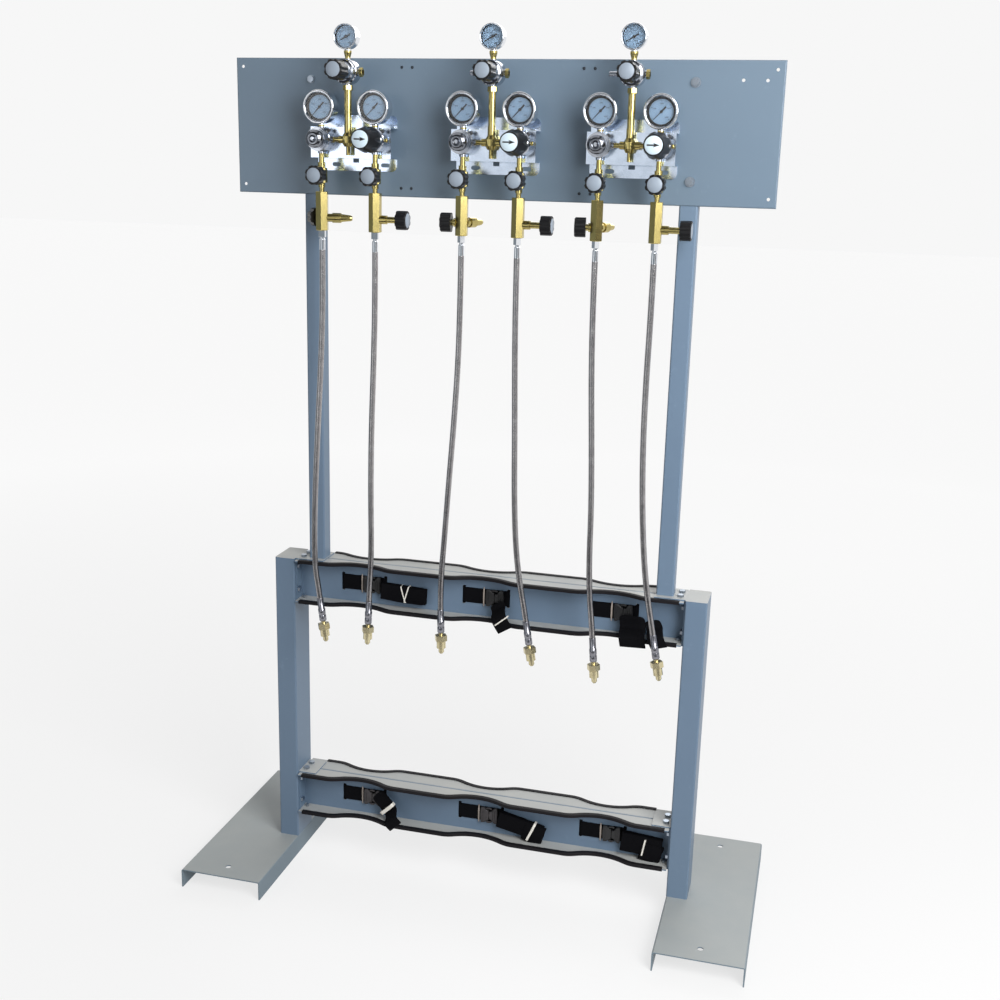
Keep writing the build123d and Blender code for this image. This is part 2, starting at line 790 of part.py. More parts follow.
def changeover_knob(x):
    """Tapered grip whose flutes run out towards the round front."""
    axis = ahead(x, regulator_z)
    start = changeover_seat + seat_gap
    face = Plane(origin=axis.origin + axis.x_dir * start, x_dir=axis.z_dir, z_dir=axis.x_dir)
    front = start + changeover_length
    cone = turned(axis, [(start, changeover_rear_radius), (start + 12, changeover_rear_radius),
                         (front - 1.5, changeover_front_radius), (front, changeover_front_radius - 1.5)])
    with BuildPart() as grip:
        add(cone)
        with BuildSketch(face):
            with PolarLocations(changeover_rear_radius + flute_radius - flute_depth - 1, lobe_count):
                Circle(flute_radius)
        extrude(amount=changeover_length, mode=Mode.SUBTRACT)
        with BuildSketch(face.offset(changeover_length)):
            Circle(changeover_label_radius)
        extrude(amount=-label_recess, mode=Mode.SUBTRACT)
        add(spindle_bore(face, 5), mode=Mode.SUBTRACT)
    return grip.part


for number, x in enumerate(station_x, start=1):
    line_axis = ahead(x, line_regulator_z)
    save(f"line_regulator_knob_{number}", lobed_knob(line_axis, line_seat + seat_gap, line_knob_length, 5))
    save(f"changeover_knob_{number}", changeover_knob(x + leg_offset))


# Inlet valves


def inlet_valve(x):
    """Hexagonal body on the drop pipe with a bonnet and spindle to the front."""
    bottom = valve_z - valve_height / 2
    with BuildPart() as valve:
        add(hexagonal(upright(x), valve_flats, bottom, bottom + valve_height))
        add(turned(ahead(x, valve_z), [(0, bonnet_radius), (bonnet_front, bonnet_radius),
                                       (bonnet_front, spindle_radius),
                                       (bonnet_front + spindle_length, spindle_radius)]))
    return valve.part


save("inlet_valves", *[inlet_valve(x) for x in leg_x])
for number, x in enumerate(leg_x, start=1):
    knob = lobed_knob(ahead(x, valve_z), bonnet_front + seat_gap, knob_length, spindle_radius)
    save(f"inlet_valve_knob_{number}", knob)


# Inlet blocks with their bleed valves: left legs are turned as fitted, right legs point along X

bleed_angles = [angle for left in left_bleed_angles for angle in (left, 0.0)]


def inlet_block(x, angle):
    """Hexagonal block with one flat square to its bleed valve."""
    with BuildPart() as block:
        heading = (cos(radians(angle)), sin(radians(angle)), 0)
        with BuildSketch(Plane(origin=(x, pipe_y, block_bottom), x_dir=heading)):
            RegularPolygon(block_flats / 2, 6, major_radius=False, rotation=30)
        extrude(amount=block_length)
        chamfer(block.faces().filter_by(Axis.Z).edges(), 1)
    return block.part


def bleed_fitting(x, angle, is_left):
    """Bonnet and spindle for the bleed knob, and on a left leg the tapered vent."""
    axis = outward(x, bleed_z, angle)
    start = left_knob_start if is_left else right_knob_start
    neck = (block_face + 4, 9.5) if is_left else (block_face + 15, 9.5)
    bonnet = turned(axis, [(block_face, 9.5), neck, (neck[0], 7), (start, 7), (start, spindle_radius),
                           (start + spindle_length, spindle_radius)])
    if not is_left:
        return [bonnet]
    vent_axis = outward(x, bleed_z, angle - vent_angle)
    vent = turned(vent_axis, [(block_face, 9), (24, 9), (24, 11), (43, 11), (43, 9), (vent_length - 4, 6.5),
                              (vent_length, 5)])
    return [bonnet, vent]


save("inlet_blocks", *[inlet_block(x, angle) for x, angle in zip(leg_x, bleed_angles)])
bleed_pieces = []
for index, (x, angle) in enumerate(zip(leg_x, bleed_angles)):
    is_left = index % 2 == 0
    bleed_pieces += bleed_fitting(x, angle, is_left)
    start = left_knob_start if is_left else right_knob_start
    knob = lobed_knob(outward(x, bleed_z, angle), start + seat_gap, bleed_knob_length, spindle_radius)
    save(f"bleed_knob_{index + 1}", knob)
save("bleed_fittings", *bleed_pieces)


# Hoses: each hangs from its collar and drifts, as (sideways, forward, down) from the collar's lower end

hose_drifts = [
    [(0, 0, 110), (-5, 2, 250), (-13, 5, 400), (-20, 8, 545), (-23, 11, 665), (-21, 14, 745), (-11, 16, 802),
     (-4, 17, 850)],
    [(0, 0, 120), (-3, 2, 260), (-7, 5, 410), (-7, 9, 550), (-4, 13, 665), (-5, 15, 740), (-8, 16, 795),
     (-9.5, 17, 844)],
    [(0, 0, 105), (-2, 2, 240), (-9, 5, 380), (-18, 8, 520), (-25, 11, 645), (-30, 14, 725), (-31, 16, 790),
     (-29, 17, 844)],
    [(0, 0, 100), (3, 2, 240), (8, 5, 385), (12, 9, 525), (19, 12, 640), (31, 15, 725), (46, 17, 795),
     (55, 18, 848)],
    [(0, 0, 110), (4, 2, 255), (12, 5, 405), (18, 9, 545), (19, 12, 660), (24, 15, 745), (33, 17, 815),
     (38, 18, 870)],
    [(0, 0, 105), (-2, 2, 245), (-1, 5, 385), (5, 9, 515), (15, 12, 635), (27, 15, 720), (42, 17, 793),
     (52, 18, 846)],
]


def hose_route(x, drifts):
    """A hose's points, from its collar down."""
    return [(x + dx, pipe_y - forward, hose_top - down) for dx, forward, down in [(0, 0, 0), *drifts]]


hose_routes = [hose_route(x, drifts) for x, drifts in zip(leg_x, hose_drifts)]


def hose(points):
    """A braided hose: straight runs joined by arcs as large as the runs allow."""
    route = [Vector(*point) for point in points]
    runs = [after - before for before, after in zip(route, route[1:])]
    radii = []
    for first, second in zip(runs, runs[1:]):
        half_turn = radians(first.get_angle(second) / 2)
        radii.append(0.45 * min(first.length, second.length) / tan(half_turn))
    with BuildPart() as tube:
        with BuildLine() as path:
            FilletPolyline(*route, radius=radii)
        with BuildSketch(Plane(origin=route[0], z_dir=runs[0])):
            Circle(hose_radius)
        sweep()
    length = path.wires()[0].length
    section = 3.14159265 * hose_radius**2
    print(f"hose length {length:.1f}, volume ratio {tube.part.volume / (section * length):.4f}, radii",
          [round(radius) for radius in radii])
    return tube.part


def connector(points):
    """Cylinder end of a hose: crimped ferrule, hexagonal nut, thread and rounded nose."""
    end = Vector(*points[-1])
    heading = (end - Vector(*points[-2])).normalized()
    axis = Plane(origin=end, x_dir=heading, z_dir=Vector(0, 1, 0).cross(heading))
    nut = connector_nut_start
    thread_end = nut + connector_nut_length + 17
    body = turned(axis, [(0, 7.5), (2, 8.3), (12, 8.3), (13, 7.8), (15, 7.8), (16, 8.3), (nut - 8, 8.3),
                         (nut - 6, 7), (nut - 6, 5), (nut, 5), (nut, 10.8), (thread_end, 10.8),
                         (thread_end, 6.5), (thread_end + 10, 6.5), (thread_end + 14, 3.5)])
    with BuildPart() as fitting:
        add(body)
        add(hexagonal(axis, connector_flats, nut, nut + connector_nut_length))
    return fitting.part


def collar(x):
    """Top end of a hose: a nut under the block and a crimped ferrule."""
    nut_bottom = block_bottom - collar_nut_length
    ferrule_top = nut_bottom - 3
    with BuildPart() as fitting:
        add(hexagonal(upright(x), 2 * collar_radius, nut_bottom, block_bottom))
        add(turned(upright(x), [(hose_top, collar_radius - 0.7), (ferrule_top - 2, collar_radius - 0.7),
                                (ferrule_top, 5), (nut_bottom, 5)]))
    return fitting.part


for number, points in enumerate(hose_routes, start=1):
    save(f"hose_{number}", hose(points))
save("hose_collars", *[collar(x) for x in leg_x])
save("hose_connectors", *[connector(points) for points in hose_routes])


# Cylinder straps: webbing from slot to slot, a buckle over it and a folded tail


def webbing(x, z):
    """Webbing along the front of the web, with both ends turned into their slots."""
    back = -(sheet + seat_gap)
    half = slot_spacing / 2
    with BuildPart() as band:
        with BuildSketch(Plane.XY.offset(z - strap_width / 2)):
            with Locations((x, back - strap_thickness / 2)):
                Rectangle(slot_spacing + strap_thickness, strap_thickness)
            with Locations((x - half, back / 2 - seat_gap), (x + half, back / 2 - seat_gap)):
                Rectangle(strap_thickness, -back)
        extrude(amount=strap_width)
    return band.part


def buckle(x, z):
    """Cam buckle over the webbing: a frame with rounded ends and a raised lever."""
    back = sheet + 2 * seat_gap + strap_thickness
    with BuildPart() as body:
        with BuildSketch(Plane.XZ.offset(back)):
            with Locations((x + buckle_length / 2, z)):
                RectangleRounded(buckle_length, buckle_height, 4)
        extrude(amount=buckle_thickness - 4)
        with BuildSketch(Plane.XZ.offset(back + buckle_thickness - 4)):
            with Locations((x + buckle_length * 0.4, z)):
                RectangleRounded(buckle_length * 0.6, buckle_height - 8, 3)
        extrude(amount=4, taper=20)
    return body.part


def lying_tail(x, z, corners):
    """Folded webbing that lies in the channel beside its buckle."""
    begin = x + buckle_length + seat_gap
    half_bay = bay_pitch / 2
    with BuildPart() as bundle:
        with BuildSketch(Plane.XZ.offset(strap_bundle_back)) as outline:
            with BuildLine():
                Polyline(*[(begin + share * half_bay, z + dz) for share, dz in corners], close=True)
            make_face()
            fillet(outline.vertices(), 3.5)
        extrude(amount=strap_bundle)
        fillet(bundle.faces().sort_by(Axis.Y)[0].edges(), 3)
    return bundle.part


def draped_tail(x, z, width, tilt, bend, length, reach):
    """Webbing that leaves the buckle's front and bends over the lower flange to hang before it."""
    start = sheet + 3 * seat_gap + strap_thickness + buckle_thickness + tail_thickness / 2
    along = Vector(cos(radians(tilt)), 0, sin(radians(tilt)))
    profile = Plane(origin=(x, 0, z), x_dir=along, z_dir=along.cross(Vector(0, -1, 0)))
    with BuildPart() as tail:
        with BuildSketch(profile):
            with BuildLine():
                FilletPolyline((0, start), (bend, start + 2), (bend + 12, reach), (length, reach), radius=6)
            trace(line_width=tail_thickness)
        extrude(amount=width / 2, both=True)
    return tail.part


# Tails that lie in the channel, as (rail, bay, corners), each corner a share of half a bay from the
# buckle and a height from its middle, and tails draped over the lower flange

lying_tails = [
    ("upper", "left", [(0, -33), (0, 18), (0.155, 20), (0.41, 11), (0.78, 11), (0.76, -36), (0.4, -36)]),
    ("lower", "middle", [(0, -22), (0, 20), (0.52, 15), (0.77, 7), (0.81, -12), (0.77, -46), (0.49, -46),
                         (0.31, -41)]),
    ("lower", "right", [(0, -22), (0, 20), (0.52, 15), (0.69, 2), (0.7, -36), (0.645, -46), (0.09, -46)]),
]
draped_tails = [
    ("upper", "middle", 32.0, -9.0, 42.0, -58.0, 14.0, 62.0, 58.0),
    ("upper", "right", 52.0, 4.0, 86.0, -90.0, 24.0, 63.0, 58.0),
    ("lower", "left", 38.0, 16.0, 44.0, -46.0, 48.0, 106.0, 58.0),
]

straps = []
buckles = []
for level_name, bottom in rail_bottoms.items():
    middle = bottom + rail_height / 2
    straps += [webbing(x, middle) for x in bay_x]
    buckles += [buckle(x, middle) for x in bay_x]
for level_name, bay, corners in lying_tails:
    straps.append(lying_tail(bay_places[bay], rail_bottoms[level_name] + rail_height / 2, corners))
for level_name, bay, dx, dz, *shape in draped_tails:
    middle = rail_bottoms[level_name] + rail_height / 2
    straps.append(draped_tail(bay_places[bay] + dx, middle + dz, *shape))
half_turn = Location((0, 0, 0), (0, 0, 180))
save("cylinder_straps", *straps, *[piece.moved(half_turn) for piece in straps])
save("strap_buckles", *buckles, *[piece.moved(half_turn) for piece in buckles])
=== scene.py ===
"""Looks of the gas cylinder station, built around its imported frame. Metres; -Y is the manifold side."""
from math import pi, radians
import bpy
import numpy as np
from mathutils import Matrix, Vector


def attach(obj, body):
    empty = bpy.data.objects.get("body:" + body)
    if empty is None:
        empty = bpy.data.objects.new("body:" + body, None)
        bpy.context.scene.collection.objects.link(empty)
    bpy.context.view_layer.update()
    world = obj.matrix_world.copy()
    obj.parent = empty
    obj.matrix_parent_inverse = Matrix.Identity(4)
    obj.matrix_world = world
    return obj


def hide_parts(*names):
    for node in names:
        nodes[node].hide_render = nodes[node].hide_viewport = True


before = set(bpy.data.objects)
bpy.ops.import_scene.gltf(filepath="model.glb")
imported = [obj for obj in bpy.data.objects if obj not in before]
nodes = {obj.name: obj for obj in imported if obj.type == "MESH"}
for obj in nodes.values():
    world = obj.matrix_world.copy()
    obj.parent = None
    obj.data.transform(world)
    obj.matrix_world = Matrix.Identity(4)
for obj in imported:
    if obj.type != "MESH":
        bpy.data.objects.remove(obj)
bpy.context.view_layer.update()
mm = 0.001

# Where the frame's pieces stand: the manifolds with their legs, heights from the top down, then the bays
STATION_X = (-0.318, 0.008, 0.306)
LEG_OFFSET = 0.063
LEG_X = tuple(x + side * LEG_OFFSET for x in STATION_X for side in (-1, 1))
PIPE_Y = -0.080
PANEL_FACE_Y = -0.022
LINE_GAUGE_Z, LINE_REGULATOR_Z, INLET_GAUGE_Z = 2.003, 1.931, 1.858
REGULATOR_Z, VALVE_Z, BLEED_Z, HOSE_TOP = 1.790, 1.713, 1.621, 1.550
BAY_X = (-0.310, 0.0, 0.310)
SLOT_OFFSET = 0.055
RAIL_MIDDLE = {"upper": 0.744, "lower": 0.172}
FORWARD = (0, -1, 0)


# Meshes from arrays


def linked(name, mesh, material):
    """New object at the origin for a mesh, with its material."""
    mesh.materials.append(material)
    thing = bpy.data.objects.new(name, mesh)
    bpy.context.collection.objects.link(thing)
    return thing


def face_object(name, points, faces, material):
    """Object at the origin from lists of points and of faces with any number of corners."""
    mesh = bpy.data.meshes.new(name)
    mesh.from_pydata(points, [], faces)
    mesh.update()
    return linked(name, mesh, material)


def mesh_object(name, points, quads, body, slot, material, uv=None, smooth=True):
    """Piece at the origin from points (n, 3) and quads (m, 4), with uv (m, 4, 2) where given."""
    mesh = bpy.data.meshes.new(name)
    mesh.vertices.add(len(points))
    mesh.vertices.foreach_set("co", np.asarray(points, dtype=np.float32).ravel())
    mesh.loops.add(quads.size)
    mesh.loops.foreach_set("vertex_index", quads.astype(np.int32).ravel())
    mesh.polygons.add(len(quads))
    mesh.polygons.foreach_set("loop_start", np.arange(0, quads.size, quads.shape[1], dtype=np.int32))
    if uv is not None:
        mesh.uv_layers.new(name="UVMap").data.foreach_set("uv", np.asarray(uv, dtype=np.float32).ravel())
    mesh.update(calc_edges=True)
    mesh.validate()
    mesh.polygons.foreach_set("use_smooth", np.full(len(mesh.polygons), smooth))
    thing = linked(name, mesh, material)
    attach(thing, body)
    return thing


def tube_quads(rows, columns):
    """Quads (i, j), (i+1, j), (i+1, j+1), (i, j+1) over rows of points, with each row closed into a ring."""
    i, j = np.meshgrid(np.arange(rows - 1), np.arange(columns), indexing="ij")
    below, beside = i + 1, (j + 1) % columns
    corners = (i * columns + j, below * columns + j, below * columns + beside, i * columns + beside)
    return np.stack(corners, axis=-1).reshape(-1, 4)


def tube_uv(rows, columns, length, girth):
    """UV in millimetres: v runs along the rows up to length and u round the columns up to girth."""
    i, j = np.meshgrid(np.arange(rows - 1), np.arange(columns), indexing="ij")
    u0, u1 = j / columns * girth, (j + 1) / columns * girth
    v0, v1 = i / (rows - 1) * length, (i + 1) / (rows - 1) * length
    corners = ((u0, v0), (u0, v1), (u1, v1), (u1, v0))
    return np.stack([np.stack(corner, -1) for corner in corners], axis=-2).reshape(-1, 4, 2)


def joined(parts):
    """One set of points and quads out of several (points, quads) pairs."""
    sizes = np.cumsum([0] + [len(points) for points, _ in parts])
    points = np.concatenate([np.asarray(points) for points, _ in parts])
    return points, np.concatenate([quads + shift for (_, quads), shift in zip(parts, sizes)])


def along(origin, direction):
    """Frame (origin, axis, side, up) whose axis is a direction and whose side is level where it can be."""
    axis = np.array(direction, float) / np.linalg.norm(direction)
    level = np.array((0, 0, 1.0)) if abs(axis[2]) < 0.9 else np.array((0, -1.0, 0))
    side = np.cross(level, axis)
    side = side / np.linalg.norm(side)
    return np.array(origin, float), axis, side, np.cross(axis, side)


def lathe(profile, place, count=48):
    """Points o + a*z + r*(cos t * s + sin t * u) of a profile of (z, r) in mm, turned about a frame's axis."""
    origin, axis, side, up = place
    z, r = np.array(profile, float).T * mm
    t = np.linspace(0, 2 * pi, count, endpoint=False)
    ring = np.cos(t)[:, None] * side + np.sin(t)[:, None] * up
    points = origin + z[:, None, None] * axis + r[:, None, None] * ring
    return points.reshape(-1, 3), tube_quads(len(profile), count)


def disc(place, start, end, radius, bevel=0.4):
    """Closed flat disc from start to end along a frame, with a small bevel on its front edge."""
    profile = [(start, 0.01), (start, radius), (end - bevel, radius), (end, radius - bevel), (end, 0.01)]
    return lathe(profile, place)


# Colours and shared surface effects


def tone(red, green, blue):
    """Linear colour of a picture colour given from 0 to 255."""
    value = np.array((red, green, blue)) / 255
    return (*np.where(value <= 0.04045, value / 12.92, ((value + 0.055) / 1.055) ** 2.4), 1.0)


def effect(name, inputs, outputs, build):
    """Node group with named number inputs and outputs, filled in by build(group, start, end)."""
    group = bpy.data.node_groups.new(name, "ShaderNodeTree")
    for label, kind, value in inputs:
        socket = group.interface.new_socket(label, in_out="INPUT", socket_type=kind)
        if value is not None:
            socket.default_value = value
    for label, kind in outputs:
        group.interface.new_socket(label, in_out="OUTPUT", socket_type=kind)
    build(group, group.nodes.new("NodeGroupInput"), group.nodes.new("NodeGroupOutput"))
    return group


def math(tree, operation, first, second=None, third=None):
    """Math node on sockets or numbers."""
    node = tree.nodes.new("ShaderNodeMath")
    node.operation = operation
    for socket, value in zip(node.inputs, (first, second, third)):
        if isinstance(value, bpy.types.NodeSocket):
            tree.links.new(value, socket)
        elif value is not None:
            socket.default_value = value
    return node.outputs[0]


def noise(tree, vector, scale, detail=3.0, roughness=0.5):
    """Noise texture on a vector, as its factor from 0 to 1."""
    node = tree.nodes.new("ShaderNodeTexNoise")
    node.inputs["Detail"].default_value = detail
    node.inputs["Roughness"].default_value = roughness
    for value, socket in ((vector, node.inputs["Vector"]), (scale, node.inputs["Scale"])):
        if isinstance(value, bpy.types.NodeSocket):
            tree.links.new(value, socket)
        else:
            socket.default_value = value
    return node.outputs["Fac"]


def blended(tree, factor, first, second):
    """Colour mix of two colours by a factor socket."""
    node = tree.nodes.new("ShaderNodeMix")
    node.data_type = "RGBA"
    tree.links.new(factor, node.inputs["Factor"])
    for value, label in ((first, "A"), (second, "B")):
        socket = [s for s in node.inputs if s.name == label and s.type == "RGBA"][0]
        if isinstance(value, bpy.types.NodeSocket):
            tree.links.new(value, socket)
        else:
            socket.default_value = value
    return [s for s in node.outputs if s.type == "RGBA"][0]


def build_coating(group, start, end):
    """Powder coat: fine orange peel for the height, broad clouds for the tint, sparse scuffs."""
    place = start.outputs["Place"]
    peel = noise(group, place, start.outputs["Peel"], 2.0, 0.6)
    cloud = noise(group, place, 3.0, 4.0, 0.55)
    scuff = math(group, "SUBTRACT", noise(group, place, 38.0, 6.0, 0.7), 0.62)
    marks = math(group, "MULTIPLY", math(group, "MAXIMUM", scuff, 0.0), start.outputs["Scuffs"])
    group.links.new(peel, end.inputs["Height"])
    group.links.new(cloud, end.inputs["Cloud"])
    group.links.new(math(group, "MINIMUM", marks, 1.0), end.inputs["Marks"])


VECTOR, NUMBER = "NodeSocketVector", "NodeSocketFloat"
COATING = effect("Powder coat", [("Place", VECTOR, None), ("Peel", NUMBER, 900.0), ("Scuffs", NUMBER, 2.0)],
                 [("Height", NUMBER), ("Cloud", NUMBER), ("Marks", NUMBER)], build_coating)


def build_machining(group, start, end):
    """Tool marks: noise stretched across the cut, with patches of dull handling."""
    stretch = group.nodes.new("ShaderNodeVectorMath")
    stretch.operation = "MULTIPLY"
    group.links.new(start.outputs["Place"], stretch.inputs[0])
    group.links.new(start.outputs["Grain"], stretch.inputs[1])
    group.links.new(noise(group, stretch.outputs[0], 1.0, 3.0, 0.6), end.inputs["Lines"])
    group.links.new(noise(group, start.outputs["Place"], 55.0, 4.0, 0.6), end.inputs["Patches"])


MACHINING = effect("Machined metal", [("Place", VECTOR, None), ("Grain", VECTOR, None)],
                   [("Lines", NUMBER), ("Patches", NUMBER)], build_machining)


def placed(tree, group, **values):
    """Effect placed in a material, with Place fed from Object coordinates and its own values."""
    node = tree.nodes.new("ShaderNodeGroup")
    node.node_tree = group
    where = tree.nodes.new("ShaderNodeTexCoord")
    tree.links.new(where.outputs["Object"], node.inputs["Place"])
    for label, value in values.items():
        node.inputs[label].default_value = value
    return node


def finish(name, colour, roughness, metallic=0.0, **shader_values):
    """Material with a Principled shader, and its tree and shader for more nodes."""
    material = bpy.data.materials.new(name)
    material.use_nodes = True
    shader = material.node_tree.nodes["Principled BSDF"]
    shader.inputs["Base Color"].default_value = colour
    shader.inputs["Roughness"].default_value = roughness
    shader.inputs["Metallic"].default_value = metallic
    for label, value in shader_values.items():
        shader.inputs[label.replace("_", " ")].default_value = value
    return material, material.node_tree, shader


def bump(tree, shader, height, strength, distance):
    """Bump node from a height socket to the shader's normal."""
    node = tree.nodes.new("ShaderNodeBump")
    node.inputs["Strength"].default_value = strength
    node.inputs["Distance"].default_value = distance
    tree.links.new(height, node.inputs["Height"])
    tree.links.new(node.outputs["Normal"], shader.inputs["Normal"])


def ranged(tree, value, low, high):
    """A factor from 0 to 1 turned into a range."""
    return math(tree, "MULTIPLY_ADD", value, high - low, low)


def paler(colour, gain, lift):
    """A colour made paler, each part up to 1."""
    return (*(min(1.0, part * gain + lift) for part in colour[:3]), 1.0)


def build_settled(group, start, end):
    """Painted sheen: a pale tint that stands in for the light up-facing faces catch from above, strongest where
    the surface faces up, broken up by noise.
    """
    facing = group.nodes.new("ShaderNodeNewGeometry")
    split = group.nodes.new("ShaderNodeSeparateXYZ")
    group.links.new(facing.outputs["Normal"], split.inputs[0])
    up = math(group, "POWER", math(group, "MAXIMUM", split.outputs[2], 0.0), 3.0)
    broken = math(group, "MULTIPLY_ADD", noise(group, start.outputs["Place"], 9.0, 4.0, 0.6), 0.5, 0.72)
    painted_sheen = math(group, "MULTIPLY", math(group, "MULTIPLY", up, broken), start.outputs["Amount"])
    group.links.new(math(group, "MINIMUM", painted_sheen, 1.0), end.inputs["Top sheen"])


# Painted sheen: up-facing faces are tinted towards a pale colour in place of the bright reflection from above
TOP_SHEEN = effect("Painted top sheen", [("Place", VECTOR, None), ("Amount", NUMBER, 0.7)],
                 [("Top sheen", NUMBER)], build_settled)
SHEEN_TINT = tone(190, 188, 180)


def painted(name, colour, dark, roughness, scuffs=1.5, sheen_amount=0.75):
    """Powder-coated steel: base colour clouded towards a second colour, with pale scuffs and a painted sheen that
    makes up-facing faces paler.
    """
    material, tree, shader = finish(name, colour, roughness)
    coat = placed(tree, COATING, Peel=700.0, Scuffs=scuffs)
    cloud = coat.outputs["Cloud"]
    scuffed = blended(tree, coat.outputs["Marks"], blended(tree, cloud, dark, colour), paler(colour, 1.5, 0.05))
    painted_sheen = placed(tree, TOP_SHEEN, Amount=sheen_amount)
    # Base colour tinted paler on up-facing faces: painted sheen
    tree.links.new(blended(tree, painted_sheen.outputs["Top sheen"], scuffed, SHEEN_TINT), shader.inputs["Base Color"])
    tree.links.new(ranged(tree, cloud, roughness - 0.06, roughness + 0.08), shader.inputs["Roughness"])
    bump(tree, shader, coat.outputs["Height"], 0.08, 0.0004)
    return material


def machined(name, colour, dark, roughness, grain=(60, 60, 900), depth=0.1, metallic=1.0):
    """Bare or plated metal with tool marks and handling patches."""
    material, tree, shader = finish(name, colour, roughness, metallic)
    marks = placed(tree, MACHINING, Grain=grain)
    patches = marks.outputs["Patches"]
    tree.links.new(blended(tree, patches, dark, colour), shader.inputs["Base Color"])
    tree.links.new(ranged(tree, patches, roughness + 0.1, roughness - 0.06), shader.inputs["Roughness"])
    bump(tree, shader, marks.outputs["Lines"], depth, 0.0002)
    return material


def moulded(name, colour, roughness, scale=1500.0, specular=0.5):
    """Moulded plastic or rubber: even colour, fine spark texture and a few dull patches."""
    material, tree, shader = finish(name, colour, roughness, Specular_IOR_Level=specular)
    coat = placed(tree, COATING, Peel=scale, Scuffs=0.4)
    cloud = coat.outputs["Cloud"]
    tree.links.new(blended(tree, cloud, colour, paler(colour, 1.6, 0.01)), shader.inputs["Base Color"])
    tree.links.new(ranged(tree, cloud, roughness - 0.08, roughness + 0.1), shader.inputs["Roughness"])
    bump(tree, shader, coat.outputs["Height"], 0.15, 0.0002)
    return material


FRAME_PAINT = painted("Frame paint", tone(109, 129, 150), tone(97, 117, 139), 0.42)
PANEL_PAINT = painted("Panel paint", tone(109, 127, 143), tone(99, 117, 134), 0.34, 1.0, 0.3)
FOOT_PAINT = painted("Foot paint", tone(122, 138, 148), tone(110, 126, 138), 0.5, 1.5, 0.5)
RUBBER = moulded("Edge rubber", tone(7, 4, 8), 0.6, specular=0.2)
BRIGHT_ZINC = machined("Bright zinc", tone(190, 208, 222), tone(156, 170, 184), 0.24, (300, 300, 300), 0.04, 0.4)
ZINC = machined("Zinc plate", tone(190, 198, 208), tone(136, 146, 158), 0.28, (300, 300, 300), 0.06)
STAINLESS = machined("Brushed stainless", tone(228, 240, 255), tone(208, 222, 242), 0.16, (12, 900, 900), 0.08)
BRASS = machined("Turned brass", tone(202, 187, 124), tone(170, 154, 94), 0.2)
PALE_BRASS = machined("Worn brass", tone(232, 222, 186), tone(196, 182, 140), 0.24)
REGULATOR = machined("Nickel body", tone(206, 211, 219), tone(152, 156, 166), 0.12, (60, 60, 60), 0.02)
CHROME = machined("Bright chrome", tone(238, 240, 244), tone(222, 225, 230), 0.06, (80, 80, 80), 0.01)
KNOB = moulded("Knob plastic", tone(11, 11, 13), 0.34, specular=0.25)
PLATE = machined("Label plate", tone(150, 161, 174), tone(136, 147, 160), 0.4, (900, 60, 60), 0.06, 0.0)
WHITE_PLATE = moulded("White disc", tone(182, 198, 210), 0.45)
INK = moulded("Black ink", tone(14, 14, 16), 0.55)
DIAL = moulded("Dial face", tone(105, 131, 156), 0.5)
DARK_CAP = moulded("Dark cap", tone(40, 41, 44), 0.35)
GLASS = finish("Lens glass", (1, 1, 1, 1), 0.02, Transmission_Weight=1.0, IOR=1.35)[0]

# Materials on the frame's own pieces

own_finish = {
    "left_foot": FOOT_PAINT, "right_foot": FOOT_PAINT, "left_short_post": FRAME_PAINT,
    "right_short_post": FRAME_PAINT, "left_tall_post": FRAME_PAINT, "right_tall_post": FRAME_PAINT,
    "upper_rail": FRAME_PAINT, "lower_rail": FRAME_PAINT, "rail_brackets": FRAME_PAINT, "edge_trim": RUBBER,
    "hex_bolts": ZINC, "back_panel": PANEL_PAINT, "manifold_brackets": STAINLESS, "manifold_piping": BRASS,
    "fixed_regulators": REGULATOR, "changeover_regulators": REGULATOR, "line_regulators": REGULATOR,
    "gauge_cases": CHROME, "gauge_dials": DIAL, "gauge_lenses": GLASS, "inlet_valves": BRASS,
    "inlet_blocks": BRASS, "bleed_fittings": BRASS, "hose_collars": CHROME, "hose_connectors": PALE_BRASS,
}
for name, thing in nodes.items():
    material = own_finish.get(name)
    if "knob" in name:
        material = KNOB
    if "pointer" in name:
        material = INK
    if material:
        for place in thing.material_slots:
            place.material = material


# Hoses: the same routes as the solids have, as (sideways, forward, down) in mm from each collar

HOSE_RADIUS = 6.0 * mm
HOSE_DRIFTS = [
    [(0, 0, 110), (-5, 2, 250), (-13, 5, 400), (-20, 8, 545), (-23, 11, 665), (-21, 14, 745), (-11, 16, 802),
     (-4, 17, 850)],
    [(0, 0, 120), (-3, 2, 260), (-7, 5, 410), (-7, 9, 550), (-4, 13, 665), (-5, 15, 740), (-8, 16, 795),
     (-9.5, 17, 844)],
    [(0, 0, 105), (-2, 2, 240), (-9, 5, 380), (-18, 8, 520), (-25, 11, 645), (-30, 14, 725), (-31, 16, 790),
     (-29, 17, 844)],
    [(0, 0, 100), (3, 2, 240), (8, 5, 385), (12, 9, 525), (19, 12, 640), (31, 15, 725), (46, 17, 795),
     (55, 18, 848)],
    [(0, 0, 110), (4, 2, 255), (12, 5, 405), (18, 9, 545), (19, 12, 660), (24, 15, 745), (33, 17, 815),
     (38, 18, 870)],
    [(0, 0, 105), (-2, 2, 245), (-1, 5, 385), (5, 9, 515), (15, 12, 635), (27, 15, 720), (42, 17, 793),
     (52, 18, 846)],
]


def hose_route(x, drifts):
    """A hose's points, from its collar down."""
    return [(x + dx * mm, PIPE_Y - forward * mm, HOSE_TOP - down * mm)
            for dx, forward, down in [(0, 0, 0), *drifts]]


